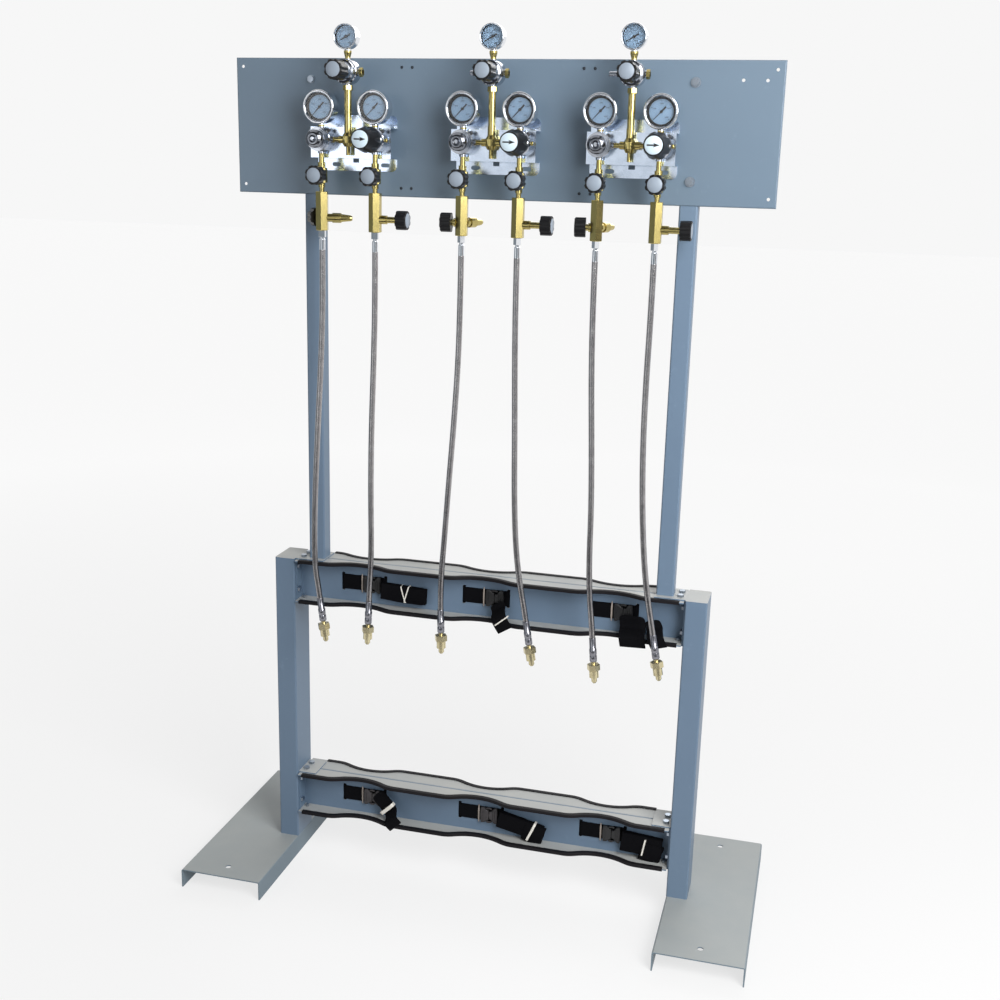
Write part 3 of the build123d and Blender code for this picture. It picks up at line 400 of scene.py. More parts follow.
def smooth_line(points):
    """Points along the NURBS curve of order 3 whose control points are given."""
    curve = bpy.data.curves.new("route", "CURVE")
    curve.dimensions = "3D"
    spline = curve.splines.new("NURBS")
    spline.points.add(len(points) - 1)
    for knot, point in zip(spline.points, points):
        knot.co = (*point, 1.0)
    spline.order_u = 3
    spline.use_endpoint_u = True
    spline.resolution_u = 24
    holder = bpy.data.objects.new("route", curve)
    bpy.context.collection.objects.link(holder)
    bpy.context.view_layer.update()
    line = bpy.data.meshes.new_from_object(holder)
    found = np.empty(len(line.vertices) * 3)
    line.vertices.foreach_get("co", found)
    bpy.data.objects.remove(holder)
    return found.reshape(-1, 3)


def even_steps(line, step):
    """The same line with points an even step apart, and its length."""
    reach = np.concatenate([[0], np.cumsum(np.linalg.norm(np.diff(line, axis=0), axis=1))])
    stations = np.linspace(0, reach[-1], int(round(reach[-1] / step)) + 1)
    return np.stack([np.interp(stations, reach, line[:, k]) for k in range(3)], axis=1), reach[-1]


def ring_frames(line, reference):
    """Unit normal and binormal at each point of a line, kept near a reference direction."""
    tangent = np.gradient(line, axis=0)
    tangent /= np.linalg.norm(tangent, axis=1)[:, None]
    normal = reference - (tangent @ reference)[:, None] * tangent
    normal /= np.linalg.norm(normal, axis=1)[:, None]
    return normal, np.cross(tangent, normal)


def braided_hose(number, route, material, sleeve):
    """Tube of radius R + a + h*max(|cos pi p| + b*w, |cos pi q| - b*w), where p and q run with the two
    sets of strands, w = cos pi(p + q) lifts each set in turn, and the rows follow the smooth line."""
    strands, around, pitch, rows_per_pitch = 9, 36, 4.2 * mm, 4
    proud, height, weave = 0.30 * mm, 0.38 * mm, 0.25
    line, length = even_steps(smooth_line(route), pitch / rows_per_pitch)
    normal, binormal = ring_frames(line, np.array((1.0, 0, 0)))
    turn = np.arange(around) / around
    row = np.arange(len(line))[:, None] / rows_per_pitch
    p, q = strands * turn + row, strands * turn - row
    over = weave * np.cos(pi * (p + q))
    lift = np.maximum(np.abs(np.cos(pi * p)) + over, np.abs(np.cos(pi * q)) - over)
    radius = HOSE_RADIUS + proud + height * lift
    angle = 2 * pi * turn[:, None]
    ring = np.cos(angle) * normal[:, None] + np.sin(angle) * binormal[:, None]
    points = (line[:, None] + radius[..., None] * ring).reshape(-1, 3)
    quads = tube_quads(len(line), around)
    uv = tube_uv(len(line), around, length / mm, 2 * pi * HOSE_RADIUS / mm)
    thing = mesh_object(f"braided_hose_{number}", points, quads, "station", "hose_braid", material, uv)
    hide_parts(f"hose_{number}")


def own_uv(tree):
    """The two parts of the mesh's own UV, in millimetres."""
    uv = tree.nodes.new("ShaderNodeUVMap")
    split = tree.nodes.new("ShaderNodeSeparateXYZ")
    tree.links.new(uv.outputs[0], split.inputs[0])
    return split.outputs[0], split.outputs[1]


def braid_material():
    """Stainless wire: fine wires along both sets of strands, over a grey that darkens in the gaps between them as
    painted shade, mixed with handling patches.
    """
    material, tree, shader = finish("Steel braid", tone(150, 149, 154), 0.17, 1.0)
    u, v = own_uv(tree)
    first = math(tree, "SINE", math(tree, "MULTIPLY", math(tree, "ADD", u, v), 9.0))
    second = math(tree, "SINE", math(tree, "MULTIPLY", math(tree, "SUBTRACT", u, v), 9.0))
    wires = math(tree, "MULTIPLY_ADD", math(tree, "MULTIPLY", first, second), 0.5, 0.5)
    patches = placed(tree, MACHINING, Grain=(40, 40, 40)).outputs["Patches"]
    # Colour darker in the gaps between wires, which is painted shade, and in the handling patches
    gap_shade_and_wear = math(tree, "MULTIPLY", math(tree, "ADD", wires, patches), 0.5)
    tree.links.new(blended(tree, gap_shade_and_wear, tone(74, 70, 74), tone(222, 219, 219)), shader.inputs["Base Color"])
    bump(tree, shader, wires, 0.18, 0.0003)
    return material


def crimped_sleeve(number, route, material):
    """Steel sleeve crimped over the hose's lower end and the connector's tail, turned about their line."""
    profile = [(-27, 6.1), (-27, 7.3), (-25.5, 7.6), (-1, 7.6), (0, 8.6), (12, 8.6), (13, 8.05), (15, 8.05),
               (16, 8.6), (28, 8.6), (30.3, 7.2), (30.3, 5.1), (0, 5.9), (-27, 6.1)]
    heading = np.array(route[-1]) - np.array(route[-2])
    points, quads = lathe(profile, along(route[-1], heading), 40)
    return mesh_object(f"hose_sleeve_{number}", points, quads, "station", "hose_braid", material)


BRAID = braid_material()
SLEEVE = machined("Crimped sleeve", tone(168, 168, 174), tone(112, 112, 120), 0.22, (300, 300, 300), 0.05)
for number, (x, drifts) in enumerate(zip(LEG_X, HOSE_DRIFTS), start=1):
    route = hose_route(x, drifts)
    braided_hose(number, route, BRAID, crimped_sleeve(number, route, SLEEVE))


# Webbing straps: a band with rounded edges carried along a path


def webbing_material():
    """Black webbing: twill ribs across the band from its UV, with a soft sheen."""
    material, tree, shader = finish("Black webbing", tone(9, 9, 12), 0.85, Specular_IOR_Level=0.12)
    u, v = own_uv(tree)
    ribs = math(tree, "SINE", math(tree, "MULTIPLY", v, 3.6))
    slant = math(tree, "ADD", u, math(tree, "MULTIPLY", v, 0.8))
    twill = math(tree, "SINE", math(tree, "MULTIPLY", slant, 5.0))
    weave = math(tree, "MULTIPLY_ADD", math(tree, "ADD", ribs, math(tree, "MULTIPLY", twill, 0.7)), 0.3, 0.5)
    tree.links.new(blended(tree, weave, tone(2, 2, 4), tone(13, 13, 17)), shader.inputs["Base Color"])
    bump(tree, shader, weave, 0.5, 0.0004)
    return material


WEBBING = webbing_material()
BUCKLE = moulded("Buckle plastic", tone(9, 9, 11), 0.36)
KEEPER = moulded("Keeper bar", tone(150, 140, 132), 0.4)
ELASTIC = moulded("Pale elastic", tone(214, 206, 198), 0.8, 2500)
WEB_WIDTH, WEB_THICKNESS = 38 * mm, 2 * mm
SQUARE = 1e-6  # corner radius of a band whose ends are cut square


def band(path, across, width, thickness, corner):
    """Closed band: at each path point a rounded rectangle, width along across and thickness along the
    normal. Nearer an end than the corner radius c, half the width loses c - sqrt(c^2 - (c - distance)^2)."""
    path = np.asarray(path, float)
    across = np.asarray(across, float) / np.linalg.norm(across)
    tangent = np.gradient(path, axis=0)
    tangent /= np.linalg.norm(tangent, axis=1)[:, None]
    normal = np.cross(tangent, across)
    normal /= np.linalg.norm(normal, axis=1)[:, None]
    w, t = width / 2, thickness / 2
    section = [(-w, 0), (-w + 0.3 * t, t * 0.8), (-w + t, t), (0, t), (w - t, t), (w - 0.3 * t, t * 0.8), (w, 0),
               (w - 0.3 * t, -t * 0.8), (w - t, -t), (0, -t), (-w + t, -t), (-w + 0.3 * t, -t * 0.8)]
    a, b = np.array(section).T
    run = np.concatenate([[0], np.cumsum(np.linalg.norm(np.diff(path, axis=0), axis=1))])
    near = np.clip(np.minimum(run, run[-1] - run), 0, corner)
    share = 1 - (corner - np.sqrt(np.clip(corner**2 - (corner - near) ** 2, 0, None))) / w
    points = path[:, None] + (share[:, None] * a)[:, :, None] * across + b[None, :, None] * normal[:, None]
    first, last = (np.repeat(end.mean(axis=0)[None, None], len(a), 1) for end in (points[0], points[-1]))
    rows = np.concatenate([first, points, last])
    return rows.reshape(-1, 3), len(rows), len(a)


def bands(name, material, pieces, corner=SQUARE):
    """One object out of several bands, with UV in millimetres along and round each."""
    parts, uvs = [], []
    for path, across, width, thickness in pieces:
        points, rows, columns = band(path, across, width, thickness, corner)
        parts.append((points, tube_quads(rows, columns)))
        length = np.linalg.norm(np.diff(np.asarray(path, float), axis=0), axis=1).sum()
        uvs.append(tube_uv(rows, columns, length / mm, 2 * width / mm))
    return mesh_object(name, *joined(parts), "station", "webbing", material, np.concatenate(uvs))


def rounded_path(corners, step=1.5 * mm):
    """Smooth even path through the neighbourhood of its corners."""
    return even_steps(smooth_line(corners), step)[0]


# Straps in the rails, front and rear: the rear side is the front one turned half round the upright axis


def mirrored(points):
    """The same points or direction on the rear side."""
    return np.asarray(points) * (-1, -1, 1)


def with_rear(pieces):
    """Bands, each followed by its copy on the rear side."""
    return [twin for path, side, *size in pieces
            for twin in ((path, side, *size), (mirrored(path), mirrored(side), *size))]


def webbing_path(x, z):
    """Webbing along the rail's web from slot to slot, with its ends turned through the slots."""
    left, right, bend = x - SLOT_OFFSET, x + SLOT_OFFSET, 4 * mm
    return rounded_path([(left, -0.0008, z), (left, -0.0043, z), (left + bend, -0.0044, z), (x, -0.0044, z),
                         (right - bend, -0.0044, z), (right, -0.0043, z), (right, -0.0008, z)])


UPRIGHT = (0, 0, 1)
SLOT_HEIGHT, SLOT_WIDTH = 45.5 * mm, 7.5 * mm
strap_pieces = with_rear([(webbing_path(x, z), UPRIGHT, WEB_WIDTH, WEB_THICKNESS)
                          for z in RAIL_MIDDLE.values() for x in BAY_X])
for z in RAIL_MIDDLE.values():
    for x in [bay + side * SLOT_OFFSET for bay in BAY_X for side in (-1, 1)]:
        through = [(x, y, z) for y in (-0.0030, -0.0010, 0.0010, 0.0030)]
        strap_pieces.append((through, UPRIGHT, SLOT_HEIGHT, SLOT_WIDTH))
strap = bands("webbing_straps", WEBBING, strap_pieces)
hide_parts("cylinder_straps")

# Folded tails: webbing laid to and fro, then held by elastic


def tilted(tilt):
    """Direction at a tilt in the rail's plane, in degrees up from the right."""
    return np.array((np.cos(radians(tilt)), 0, np.sin(radians(tilt))))


def across(tilt):
    """Direction across a band that runs at a tilt in the rail's plane."""
    return np.array((-np.sin(radians(tilt)), 0, np.cos(radians(tilt))))


def folded(start, tilt, length, layers, rise):
    """Path that goes to and fro along a tilt in the rail's plane, one layer in front of the last.
    Each layer's middle rises by that many millimetres more than the last one's."""
    gap, turn_in, shorter, wave = 3.1 * mm, 0.08, 2 * mm, 0.5 * mm
    corners = []
    for layer in range(layers):
        near = np.array(start, float) + (0, -gap * layer, 0)
        far = near + tilted(tilt) * (length - shorter * (layer % 3))
        first, last = (near, far) if layer % 2 == 0 else (far, near)
        inset = (last - first) * turn_in
        middle = (first + last) / 2 + (0, wave * (-1) ** layer, rise * mm * layer)
        corners += [first, first + inset, middle, last - inset, last]
    return rounded_path(corners)


def draped(start, tilt, bend, length, reach):
    """Path that leaves the buckle, bends forward over the lower flange and hangs before it, then returns."""
    x, y, z = start
    rear = reach + 3.0 * mm
    profile = [(0, y), (bend * 0.6, y - 0.001), (bend, y - 0.003), (bend + 0.012, -reach),
               (length * 0.85, -reach - 0.001), (length, -reach), (length + 0.002, -(reach + rear) / 2),
               (length, -rear), (length * 0.8, -rear - 0.001), (bend + 0.010, -rear), (bend + 0.002, y - 0.010)]
    return rounded_path([np.array((x, 0, z)) + tilted(tilt) * s + (0, depth, 0) for s, depth in profile])


def loop_round(centre, tilt, width, depth, band_width):
    """Elastic loop (|cos t|^k, |sin t|^k): a closed rounded ring in the plane across the bundle."""
    t = np.linspace(0, 2 * pi, 41)
    b, c = (np.sign(wave) * np.abs(wave) ** 0.35 for wave in (np.cos(t), np.sin(t)))
    points = (np.array(centre) + b[:, None] * across(tilt) * width / 2
              + c[:, None] * np.array((0, 1, 0)) * depth / 2)
    return points, tilted(tilt), band_width, 0.8 * mm


TAILS = [
    (folded((-0.261, -0.010, 0.735), -3, 0.115, 5, -0.6), across(-3), 0.040, WEB_THICKNESS),
    (draped((0.030, -0.0215, 0.736), -58, 0.014, 0.060, 0.0555), across(-58), WEB_WIDTH, WEB_THICKNESS),
    (draped((0.355, -0.0215, 0.742), -80, 0.026, 0.062, 0.0555), across(-88), 0.060, WEB_THICKNESS),
    (draped((0.402, -0.0225, 0.737), -64, 0.020, 0.056, 0.0565), across(-74), WEB_WIDTH, WEB_THICKNESS),
    (draped((-0.270, -0.0215, 0.190), -46, 0.058, 0.088, 0.0555), across(-46), 0.040, WEB_THICKNESS),
    (folded((0.049, -0.010, 0.171), -13, 0.116, 5, 0.3), across(-13), 0.042, WEB_THICKNESS),
    (folded((0.115, -0.0135, 0.152), -16, 0.052, 4, 0.2), across(-16), 0.050, WEB_THICKNESS),
    (folded((0.359, -0.010, 0.164), -5, 0.100, 5, 0.4), across(-5), 0.050, WEB_THICKNESS),
    (folded((0.408, -0.0125, 0.149), -14, 0.052, 5, 0.2), across(-14), 0.046, WEB_THICKNESS),
]
bands("folded_tails", WEBBING, with_rear(TAILS), 9 * mm)

LOOPS = [
    loop_round((-0.203, -0.0165, 0.732), 16, 0.043, 0.019, 0.003),
    loop_round((-0.195, -0.0165, 0.732), -16, 0.043, 0.020, 0.003),
    loop_round((0.053, -0.0570, 0.707), -50, 0.041, 0.0075, 0.003),
    loop_round((-0.240, -0.0262, 0.156), -46, 0.044, 0.0165, 0.009),
    loop_round((0.134, -0.0170, 0.150), -24, 0.052, 0.022, 0.006),
    loop_round((0.414, -0.0165, 0.154), -10, 0.047, 0.019, 0.004),
]
bands("elastic_loops", ELASTIC, with_rear(LOOPS))

# Buckles: moulded halves whose outline narrows between two prongs

BUCKLE_Y, RIB_Y, KEEPER_Y = -0.0102, -0.0146, -0.0068


def superellipse_tube(distance, half_height, half_depth, centre, power=5.0, count=40):
    """Rows of |b/h|^n + |c/d|^n = 1 sections along x, with h and d given at each distance."""
    t = np.linspace(0, 2 * pi, count, endpoint=False)
    round_b, round_c = (np.sign(wave) * np.abs(wave) ** (2 / power) for wave in (np.cos(t), np.sin(t)))
    a = np.concatenate([distance[:1], distance, distance[-1:]])[:, None]
    h, d = (np.concatenate([[1e-6], half, [1e-6]])[:, None] for half in (half_height, half_depth))
    points = np.stack([np.broadcast_to(a, (len(a), count)), -d * round_c, h * round_b], axis=-1)
    return (points + np.array(centre)).reshape(-1, 3), tube_quads(len(a), count)


def buckle_half(x, z, start, length, waist_at, waist):
    """Half of a buckle: its height f - (f - w) exp(-((a - m) / 0.28 l)^2) is full at the strap end and drawn
    in to a waist w at a distance m, and both ends are rounded."""
    full, thick, corner = 21.5, 4.2, 2.5
    a = np.linspace(0, length, 28)
    dip = np.exp(-((a - waist_at) / (length * 0.28)) ** 2)
    into_corner = ((np.abs(a - length / 2) - length / 2 + corner) / corner).clip(0)
    end = np.minimum(1.0, np.sqrt(np.clip(1 - into_corner ** 2, 0.02, 1)))
    height = (full - (full - waist) * dip) * end
    depth = np.full_like(a, thick) * (0.85 + 0.15 * end)
    return superellipse_tube((start + a) * mm, height * mm, depth * mm, (x, BUCKLE_Y, z))


def rounded_bar(x, y, z, start, width, half_height, half_depth, least):
    """Upright flat bar whose edges round off: its height goes with sqrt(1 - e^4), e from -1 to 1 across it."""
    share = np.linspace(0, 1, 7)
    high = half_height * np.sqrt(np.clip(1 - (2 * share - 1) ** 4, least, 1))
    return superellipse_tube((start + width * share) * mm, high * mm, np.full(7, half_depth) * mm, (x, y, z), 4.0)


def buckle_parts(x, z):
    """Socket and plug halves, two bowed prongs in the waist and raised ribs across both halves."""
    prong = np.linspace(0, 1, 16)
    width = 2.6 * np.sqrt(np.clip(1 - (2 * prong - 1) ** 6, 0.01, 1)) * mm
    parts = [buckle_half(x, z, 1, 22, 18, 14.0), buckle_half(x, z, 23.2, 22, 4, 11.0)]
    for side in (-1, 1):
        points, quads = superellipse_tube((14 + 17 * prong) * mm, width, width * 0.8, (x, BUCKLE_Y, z), 3.0)
        bow = side * (16.5 + 2.5 * np.sin(pi * (points[:, 0] - x - 14 * mm) / (17 * mm))) * mm
        parts.append((points + bow[:, None] * UPRIGHT, quads))
    return parts + [rounded_bar(x, RIB_Y, z, start, 2.4, 15.0, 1.4, 0.05) for start in (5.5, 31.0, 35.5, 40.0)]


def both_sides(parts):
    """Parts and their copies on the rear side."""
    return parts + [(mirrored(points), quads) for points, quads in parts]


black_parts, steel_parts, keepers = [], [], []
for level, z in RAIL_MIDDLE.items():
    for bay, x in enumerate(BAY_X):
        halves = steel_parts if level == "lower" and bay < 2 else black_parts
        halves.extend(both_sides(buckle_parts(x, z)))
        keepers += both_sides([rounded_bar(x, KEEPER_Y, z, -6.5, 4, 24.0, 1.3, 0.3)])
BUCKLE_STEEL = machined("Cast buckle", tone(84, 81, 82), tone(54, 52, 54), 0.4, (200, 200, 200), 0.1, 0.7)
buckles = mesh_object("strap_buckles_moulded", *joined(black_parts), "station", "buckle_plastic", BUCKLE)
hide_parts("strap_buckles")
mesh_object("strap_buckles_cast", *joined(steel_parts), "station", "buckle_plastic", BUCKLE_STEEL)
mesh_object("strap_keepers", *joined(keepers), "station", "buckle_plastic", KEEPER)

# Knob labels: plain discs seated in the knobs' recesses

VALVE_LABEL, LINE_LABEL, CHANGEOVER_LABEL = 48.3, 87.3, 94.3  # distances in mm from the pipes' middle
BLEED_LABEL_SHORT, BLEED_LABEL_LONG = 46.3, 76.3
BLEED_ANGLES = (132.0, 0.0, 186.0, 0.0, 189.0, 0.0)


def label(name, body, place, end, material=PLATE, radius=15.7):
    """Plain disc whose back sits in the recess, standing a little proud of it."""
    return mesh_object(name, *disc(place, end - 0.75, end + 0.25, radius), body, "knob_plastic", material)


def arrow(name, body, x, z):
    """Flat arrow to the right, an outline given a small depth, laid on a changeover knob's disc."""
    outline = np.array([(-13.5, -1.5), (1, -1.5), (-1, -4.4), (13.5, 0), (-1, 4.4), (1, 1.5), (-13.5, 1.5)]) * mm
    front, depth, count = PIPE_Y - (CHANGEOVER_LABEL + 0.35) * mm, 0.4 * mm, len(outline)
    flat = np.stack([x + outline[:, 0], np.full(count, front), z + outline[:, 1]], axis=1)
    solid = np.concatenate([flat, flat + (0, depth, 0)])
    sides = [(i, i + count, (i + 1) % count + count, (i + 1) % count) for i in range(count)]
    faces = [tuple(range(count)), tuple(range(2 * count - 1, count - 1, -1)), *sides]
    pointer = face_object(name, solid.tolist(), faces, INK)
    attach(pointer, body)


for number, x in enumerate(LEG_X, start=1):
    place = along((x, PIPE_Y, VALVE_Z), FORWARD)
    label(f"valve_label_{number}", f"inlet_valve_knob_{number}", place, VALVE_LABEL)
for number, x in enumerate(STATION_X, start=1):
    place = along((x, PIPE_Y, LINE_REGULATOR_Z), FORWARD)
    label(f"line_label_{number}", f"line_regulator_knob_{number}", place, LINE_LABEL)
    leg, body = x + LEG_OFFSET, f"changeover_knob_{number}"
    place = along((leg, PIPE_Y, REGULATOR_Z), FORWARD)
    label(f"changeover_label_{number}", body, place, CHANGEOVER_LABEL, WHITE_PLATE, 18.3)
    arrow(f"changeover_arrow_{number}", body, leg, REGULATOR_Z)
for number, (x, angle) in enumerate(zip(LEG_X, BLEED_ANGLES), start=1):
    place = along((x, PIPE_Y, BLEED_Z), (np.cos(radians(angle)), np.sin(radians(angle)), 0))
    end = BLEED_LABEL_SHORT if angle else BLEED_LABEL_LONG
    label(f"bleed_label_{number}", f"bleed_knob_{number}", place, end)

# Regulators: turned bonnet caps on the fixed ones, their chrome darkened grey as a painted dark reflection, and
# small plugs round the bodies

caps, plugs, brass_plugs = [], [], []
cap_profile = [(36.2, 18.4), (36.2, 19.3), (43.1, 19.3), (43.9, 19.0), (44.2, 18.6), (46.6, 17.5), (46.9, 16.9),
               (49.0, 15.2), (49.3, 14.7), (50.6, 13.4), (51.2, 11.0), (51.3, 4.3), (49.8, 4.3), (36.2, 18.4)]
plug_profile = [(22, 0.01), (22, 4.4), (29.2, 4.4), (30, 3.6), (30, 2.2), (28.6, 2.0), (28.6, 0.01)]
for x in STATION_X:
    fixed, changeover = x - LEG_OFFSET, x + LEG_OFFSET
    caps.append(lathe(cap_profile, along((fixed, PIPE_Y, REGULATOR_Z), FORWARD), 64))
    for leg, side in ((fixed, 1), (changeover, -1), (changeover, 1)):
        plugs.append(lathe(plug_profile, along((leg, PIPE_Y - 0.006, REGULATOR_Z), (side, 0, 1)), 18))
    brass_plugs.append(lathe(plug_profile, along((changeover, PIPE_Y - 0.004, REGULATOR_Z), (1, 0, 0)), 18))
# Chrome made dark grey: a painted dark reflection on the bonnet caps
DARKENED_CHROME_CAP = machined("Darkened chrome cap", tone(152, 155, 162), tone(104, 107, 114), 0.13, (60, 60, 60), 0.02)
mesh_object("bonnet_caps", *joined(caps), "station", "chrome", DARKENED_CHROME_CAP)
mesh_object("port_plugs", *joined(plugs), "station", "chrome", DARK_CAP)
mesh_object("relief_plugs", *joined(brass_plugs), "station", "brass", BRASS)

# Panel bolts: pressed heads with a rounded crown over the plain hexagons

PANEL_BOLT_X, PANEL_BOLT_Z = 0.428, (1.920, 1.720)
head_profile = [(0.05, 8.1), (0.9, 8.1), (1.6, 7.9), (1.6, 7.55), (5.4, 7.55), (6.6, 6.7), (7.1, 5.0), (6.5, 3.6),
                (6.4, 0.01)]
heads = [lathe(head_profile, along((side * PANEL_BOLT_X, PANEL_FACE_Y, z), FORWARD), 6)
         for side in (-1, 1) for z in PANEL_BOLT_Z]
mesh_object("panel_bolt_heads", *joined(heads), "station", "zinc_steel", BRIGHT_ZINC, smooth=False)

# Spare holes of the panel: dark discs set just behind its face, painted shade in the holes

PAIR_X, HALF_PAIR, PAIR_Z = 203.0 * mm, 12.0 * mm, (1.946, 1.689)
# Dark discs behind the holes stand in for the shade inside them
HOLE_SHADE = moulded("Painted hole shade", tone(30, 36, 44), 0.6)
hole_shades = [disc(along((side * PAIR_X + shift * HALF_PAIR, PANEL_FACE_Y, z), FORWARD), -1.6, -0.5, 3.45, 0.2)
           for side in (-1, 1) for shift in (-1, 1) for z in PAIR_Z]
mesh_object("panel_hole_shades", *joined(hole_shades), "station", "zinc_steel", HOLE_SHADE)

# Gauge dials: tick marks, plain numbers and a dark ring inside the bezel, a painted dark reflection of the chrome

SWEEP = 270  # degrees that a pointer turns
TICK_FACE, NUMBER_FACE = PIPE_Y - 7.2 * mm, PIPE_Y - 7.3 * mm
BOX_FACES = np.array([(0, 3, 2, 1), (4, 5, 6, 7), (0, 1, 5, 4), (1, 2, 6, 5), (2, 3, 7, 6), (3, 0, 4, 7)])


def dial_marks(x, z, radius, zero, major, minor):
    """Ticks as thin raised bars between two radii, over the degrees that the pointer sweeps."""
    centre, raised = np.array((x, TICK_FACE, z)), (0, -0.12 * mm, 0)
    parts = []
    for index in range(major * minor + 1):
        angle = zero - SWEEP * index / (major * minor)
        run, side = tilted(angle), across(angle)
        start, half = (0.80, 0.45 * mm) if index % minor == 0 else (0.86, 0.2 * mm)
        inner, outer = radius * start * mm, radius * 0.93 * mm
        flat = [centre + run * inner - side * half, centre + run * outer - side * half,
                centre + run * outer + side * half, centre + run * inner + side * half]
        parts.append((np.array(flat + [corner + raised for corner in flat]), BOX_FACES))
    return parts


def rounded_bezel(inner, outer):
    """Section of a rolled rim in (z, r): (base + 3 sin^0.8 a, middle - half cos a) between two radii."""
    base, back = 16.2, 15.4
    middle, half = (inner + outer) / 2, (outer - inner) / 2
    crown = [(base + 3.0 * np.sin(a) ** 0.8, middle - half * np.cos(a)) for a in np.linspace(0, pi, 17)]
    return [(base, inner), *crown[1:-1], (base, outer), (back, outer), (back, inner), (base, inner)]


def number_mesh(text, size, centre):
    """Flat number as mesh points and faces, upright on the dial around a centre."""
    curve = bpy.data.curves.new("number", "FONT")
    curve.body, curve.size, curve.align_x, curve.align_y = text, size, "CENTER", "CENTER"
    curve.extrude = 0.00006
    holder = bpy.data.objects.new("number", curve)
    bpy.context.collection.objects.link(holder)
    bpy.context.view_layer.update()
    flat = bpy.data.meshes.new_from_object(holder)
    bpy.data.objects.remove(holder)
    points = np.empty(len(flat.vertices) * 3)
    flat.vertices.foreach_get("co", points)
    points = points.reshape(-1, 3)
    upright = np.stack([points[:, 0], -points[:, 2], points[:, 1]], axis=1) + np.array(centre)
    return upright, [tuple(face.vertices) for face in flat.polygons]


def dial_numbers(name, x, z, radius, zero, values):
    """Numbers round the dial inside the ticks, as one object."""
    points, faces = [], []
    for index, value in enumerate(values):
        spoke = tilted(zero - SWEEP * index / (len(values) - 1)) * radius * 0.62 * mm
        centre = np.array((x, NUMBER_FACE, z)) + spoke
        upright, found = number_mesh(str(value), radius * 0.15 * mm, centre)
        shift = sum(len(block) for block in points)
        points.append(upright)
        faces += [tuple(corner + shift for corner in face) for face in found]
    thing = face_object(name, np.concatenate(points).tolist(), faces, INK)
    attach(thing, "station")


# Dial radius, angle of zero, spans between numbers, ticks in a span, numbers, then the case's three radii
LINE_GAUGE = (22.8, 208.0, 4, 5, (0, 50, 100, 150, 200), (24.3, 22.9, 26.5))
INLET_GAUGE = (25.6, 226.0, 4, 10, (0, 1000, 2000, 3000, 4000), (31.0, 25.0, 36.0))
# Dark ring between dial and bezel: a painted dark reflection of the chrome bezel
DARK_REFLECTION_RING = moulded("Painted dark reflection", tone(8, 9, 13), 0.5, specular=0.12)
gauges = [(x, LINE_GAUGE_Z, *LINE_GAUGE) for x in STATION_X] + [(x, INLET_GAUGE_Z, *INLET_GAUGE) for x in LEG_X]
ticks, rings, bezels = [], [], []
for number, (x, z, radius, zero, major, minor, values, case) in enumerate(gauges, start=1):
    ticks += dial_marks(x, z, radius, zero, major, minor)
    dial_numbers(f"dial_numbers_{number}", x, z, radius, zero, values)
    wall, lip, outer = case
    place = along((x, PIPE_Y, z), FORWARD)
    ring = [(7.3, lip), (7.3, wall), (13.1, wall), (13.1, lip + 0.35 * (wall - lip)), (7.3, lip)]
    rings.append(lathe(ring, place, 64))
    bezels.append(lathe(rounded_bezel(wall - 0.8, outer + 0.15), place, 80))
mesh_object("dial_ticks", *joined(ticks), "station", "dial_face", INK, smooth=False)
mesh_object("dial_rings", *joined(rings), "station", "dial_face", DARK_REFLECTION_RING)
mesh_object("gauge_bezels", *joined(bezels), "station", "chrome", CHROME)

# Camera, floor and light

camera_data = bpy.data.cameras.new("Camera")
camera_data.lens = 45.736
camera_data.sensor_width = 36.0
camera = bpy.data.objects.new("Camera", camera_data)
camera.location = (0.75295, -2.79329, 1.73588)
camera.rotation_euler = (radians(75.406), radians(-1.464), radians(14.949))
bpy.context.collection.objects.link(camera)
bpy.context.scene.camera = camera

bpy.context.scene.view_settings.view_transform = "Standard"


def stage_sheet(name, corners, material):
    """Flat sheet of the studio, which isn't part of the object."""
    sheet = face_object(name, corners, [(0, 1, 2, 3)], material)
    return sheet


def seen_directly(tree):
    """1 for camera, glossy and transmission rays, else 0."""
    rays = tree.nodes.new("ShaderNodeLightPath")
    mirrored_rays = math(tree, "MAXIMUM", rays.outputs["Is Glossy Ray"], rays.outputs["Is Transmission Ray"])
    return math(tree, "MAXIMUM", rays.outputs["Is Camera Ray"], mirrored_rays)


def floor_material():
    """Pale floor that takes the object's shadow. Its own glow, which lamps don't get, grows with the
    distance from the object, as the lamps light the near floor more."""
    material, tree, shader = finish("Pale floor", (0.22, 0.22, 0.22, 1), 0.9, Specular_IOR_Level=0.02,
                                    Emission_Color=(1, 1, 1, 1))
    place = tree.nodes.new("ShaderNodeTexCoord")
    reach = tree.nodes.new("ShaderNodeVectorMath")
    reach.operation = "LENGTH"
    tree.links.new(place.outputs["Object"], reach.inputs[0])
    glow = tree.nodes.new("ShaderNodeMapRange")
    for field, value in {"From Min": 0.8, "From Max": 5.0, "To Min": 0.72, "To Max": 0.86}.items():
        glow.inputs[field].default_value = value
    tree.links.new(reach.outputs["Value"], glow.inputs["Value"])
    strength = math(tree, "MULTIPLY", seen_directly(tree), glow.outputs["Result"])
    tree.links.new(strength, shader.inputs["Emission Strength"])
    return material


stage_sheet("Floor", [(-30, -30, 0), (30, -30, 0), (30, 30, 0), (-30, 30, 0)], floor_material())

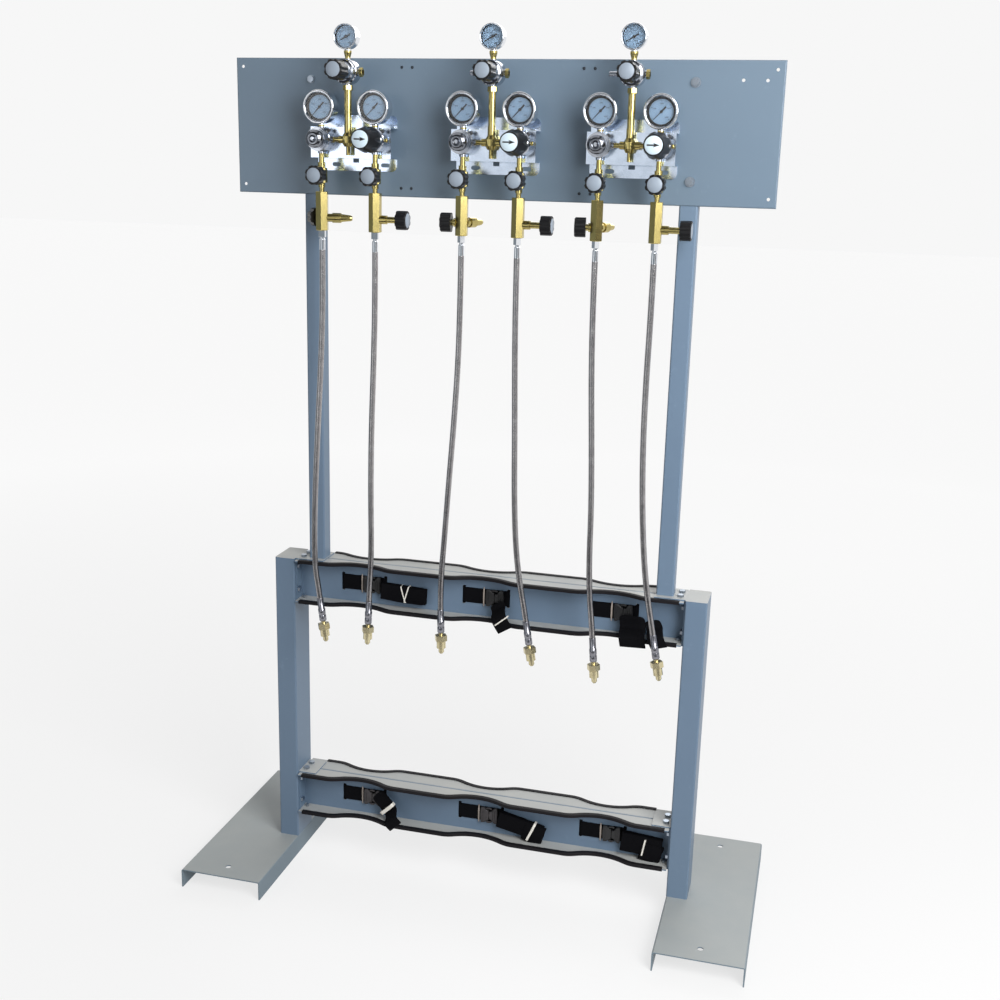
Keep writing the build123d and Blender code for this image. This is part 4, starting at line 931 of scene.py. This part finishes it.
# Dark cards and grey walls round the object, for the dark bands in plated metal; only reflections see them
DARK = (0.02, 0.02, 0.025, 1)
CARD = finish("Dark card", DARK, 0.9)[0]
WALL = finish("Grey wall", DARK, 0.9, Emission_Color=(0.80, 0.92, 1.0, 1), Emission_Strength=0.26)[0]
for name, corners in {
    "Top card": [(-2.0, -2.6, 3.3), (2.4, -2.6, 3.3), (2.4, -0.7, 3.3), (-2.0, -0.7, 3.3)],
    "Low card": [(-2.0, -3.2, 0.35), (2.4, -3.2, 0.35), (2.4, -0.9, 0.35), (-2.0, -0.9, 0.35)],
    "Right card": [(2.6, -1.6, 0.9), (2.6, -0.3, 0.9), (2.6, -0.3, 2.6), (2.6, -1.6, 2.6)],
    "Upper wall": [(-7.0, -5.5, 2.4), (-0.2, -5.5, 2.4), (-0.2, -5.5, 5.0), (-7.0, -5.5, 5.0)],
    "Left wall": [(-7.0, -5.5, -0.5), (-3.1, -5.5, -0.5), (-3.1, -5.5, 2.2), (-7.0, -5.5, 2.2)],
    "Side wall": [(-2.7, -5.4, -0.5), (-2.7, 0.6, -0.5), (-2.7, 0.6, 4.2), (-2.7, -5.4, 4.2)],
    "Right wall": [(0.7, -5.5, -0.5), (5.0, -5.5, -0.5), (5.0, -5.5, 5.0), (0.7, -5.5, 5.0)],
    "Lower wall": [(-3.1, -5.5, 0.8), (0.7, -5.5, 0.8), (0.7, -5.5, 1.5), (-3.1, -5.5, 1.5)],
}.items():
    card = stage_sheet(name, corners, WALL if name.endswith("wall") else CARD)
    card.visible_camera = card.visible_diffuse = card.visible_shadow = card.visible_transmission = False

SEEN_WORLD, LIGHTING_WORLD = 0.93, 0.31
world = bpy.data.worlds.new("Studio")
bpy.context.scene.world = world
world.use_nodes = True
sky = world.node_tree
backdrop = sky.nodes["Background"]
backdrop.inputs["Color"].default_value = (1, 1, 1, 1)
sky.links.new(ranged(sky, seen_directly(sky), LIGHTING_WORLD, SEEN_WORLD), backdrop.inputs["Strength"])


def area_light(name, location, target, size, power):
    """Soft rectangular light aimed at a point."""
    data = bpy.data.lights.new(name, "AREA")
    data.shape = "RECTANGLE"
    data.size, data.size_y = size
    data.energy = power
    light = bpy.data.objects.new(name, data)
    light.location = location
    light.rotation_euler = (Vector(target) - Vector(location)).to_track_quat("-Z", "Y").to_euler()
    bpy.context.collection.objects.link(light)
    return light


area_light("Key", (1.85, -1.8, 2.6), (0.25, 0, 1.4), (1.8, 1.8), 95)
side_light = area_light("Side", (2.2, -2.2, 1.1), (0.5, 0, 1.5), (1.0, 1.4), 26)
side_light.visible_glossy = False
area_light("Fill", (-2.6, -3.4, 1.4), (0, 0, 0.9), (2.5, 2.5), 20)
area_light("Rim", (0.5, 3.4, 3.2), (0, 0, 1.2), (3.0, 1.5), 40)
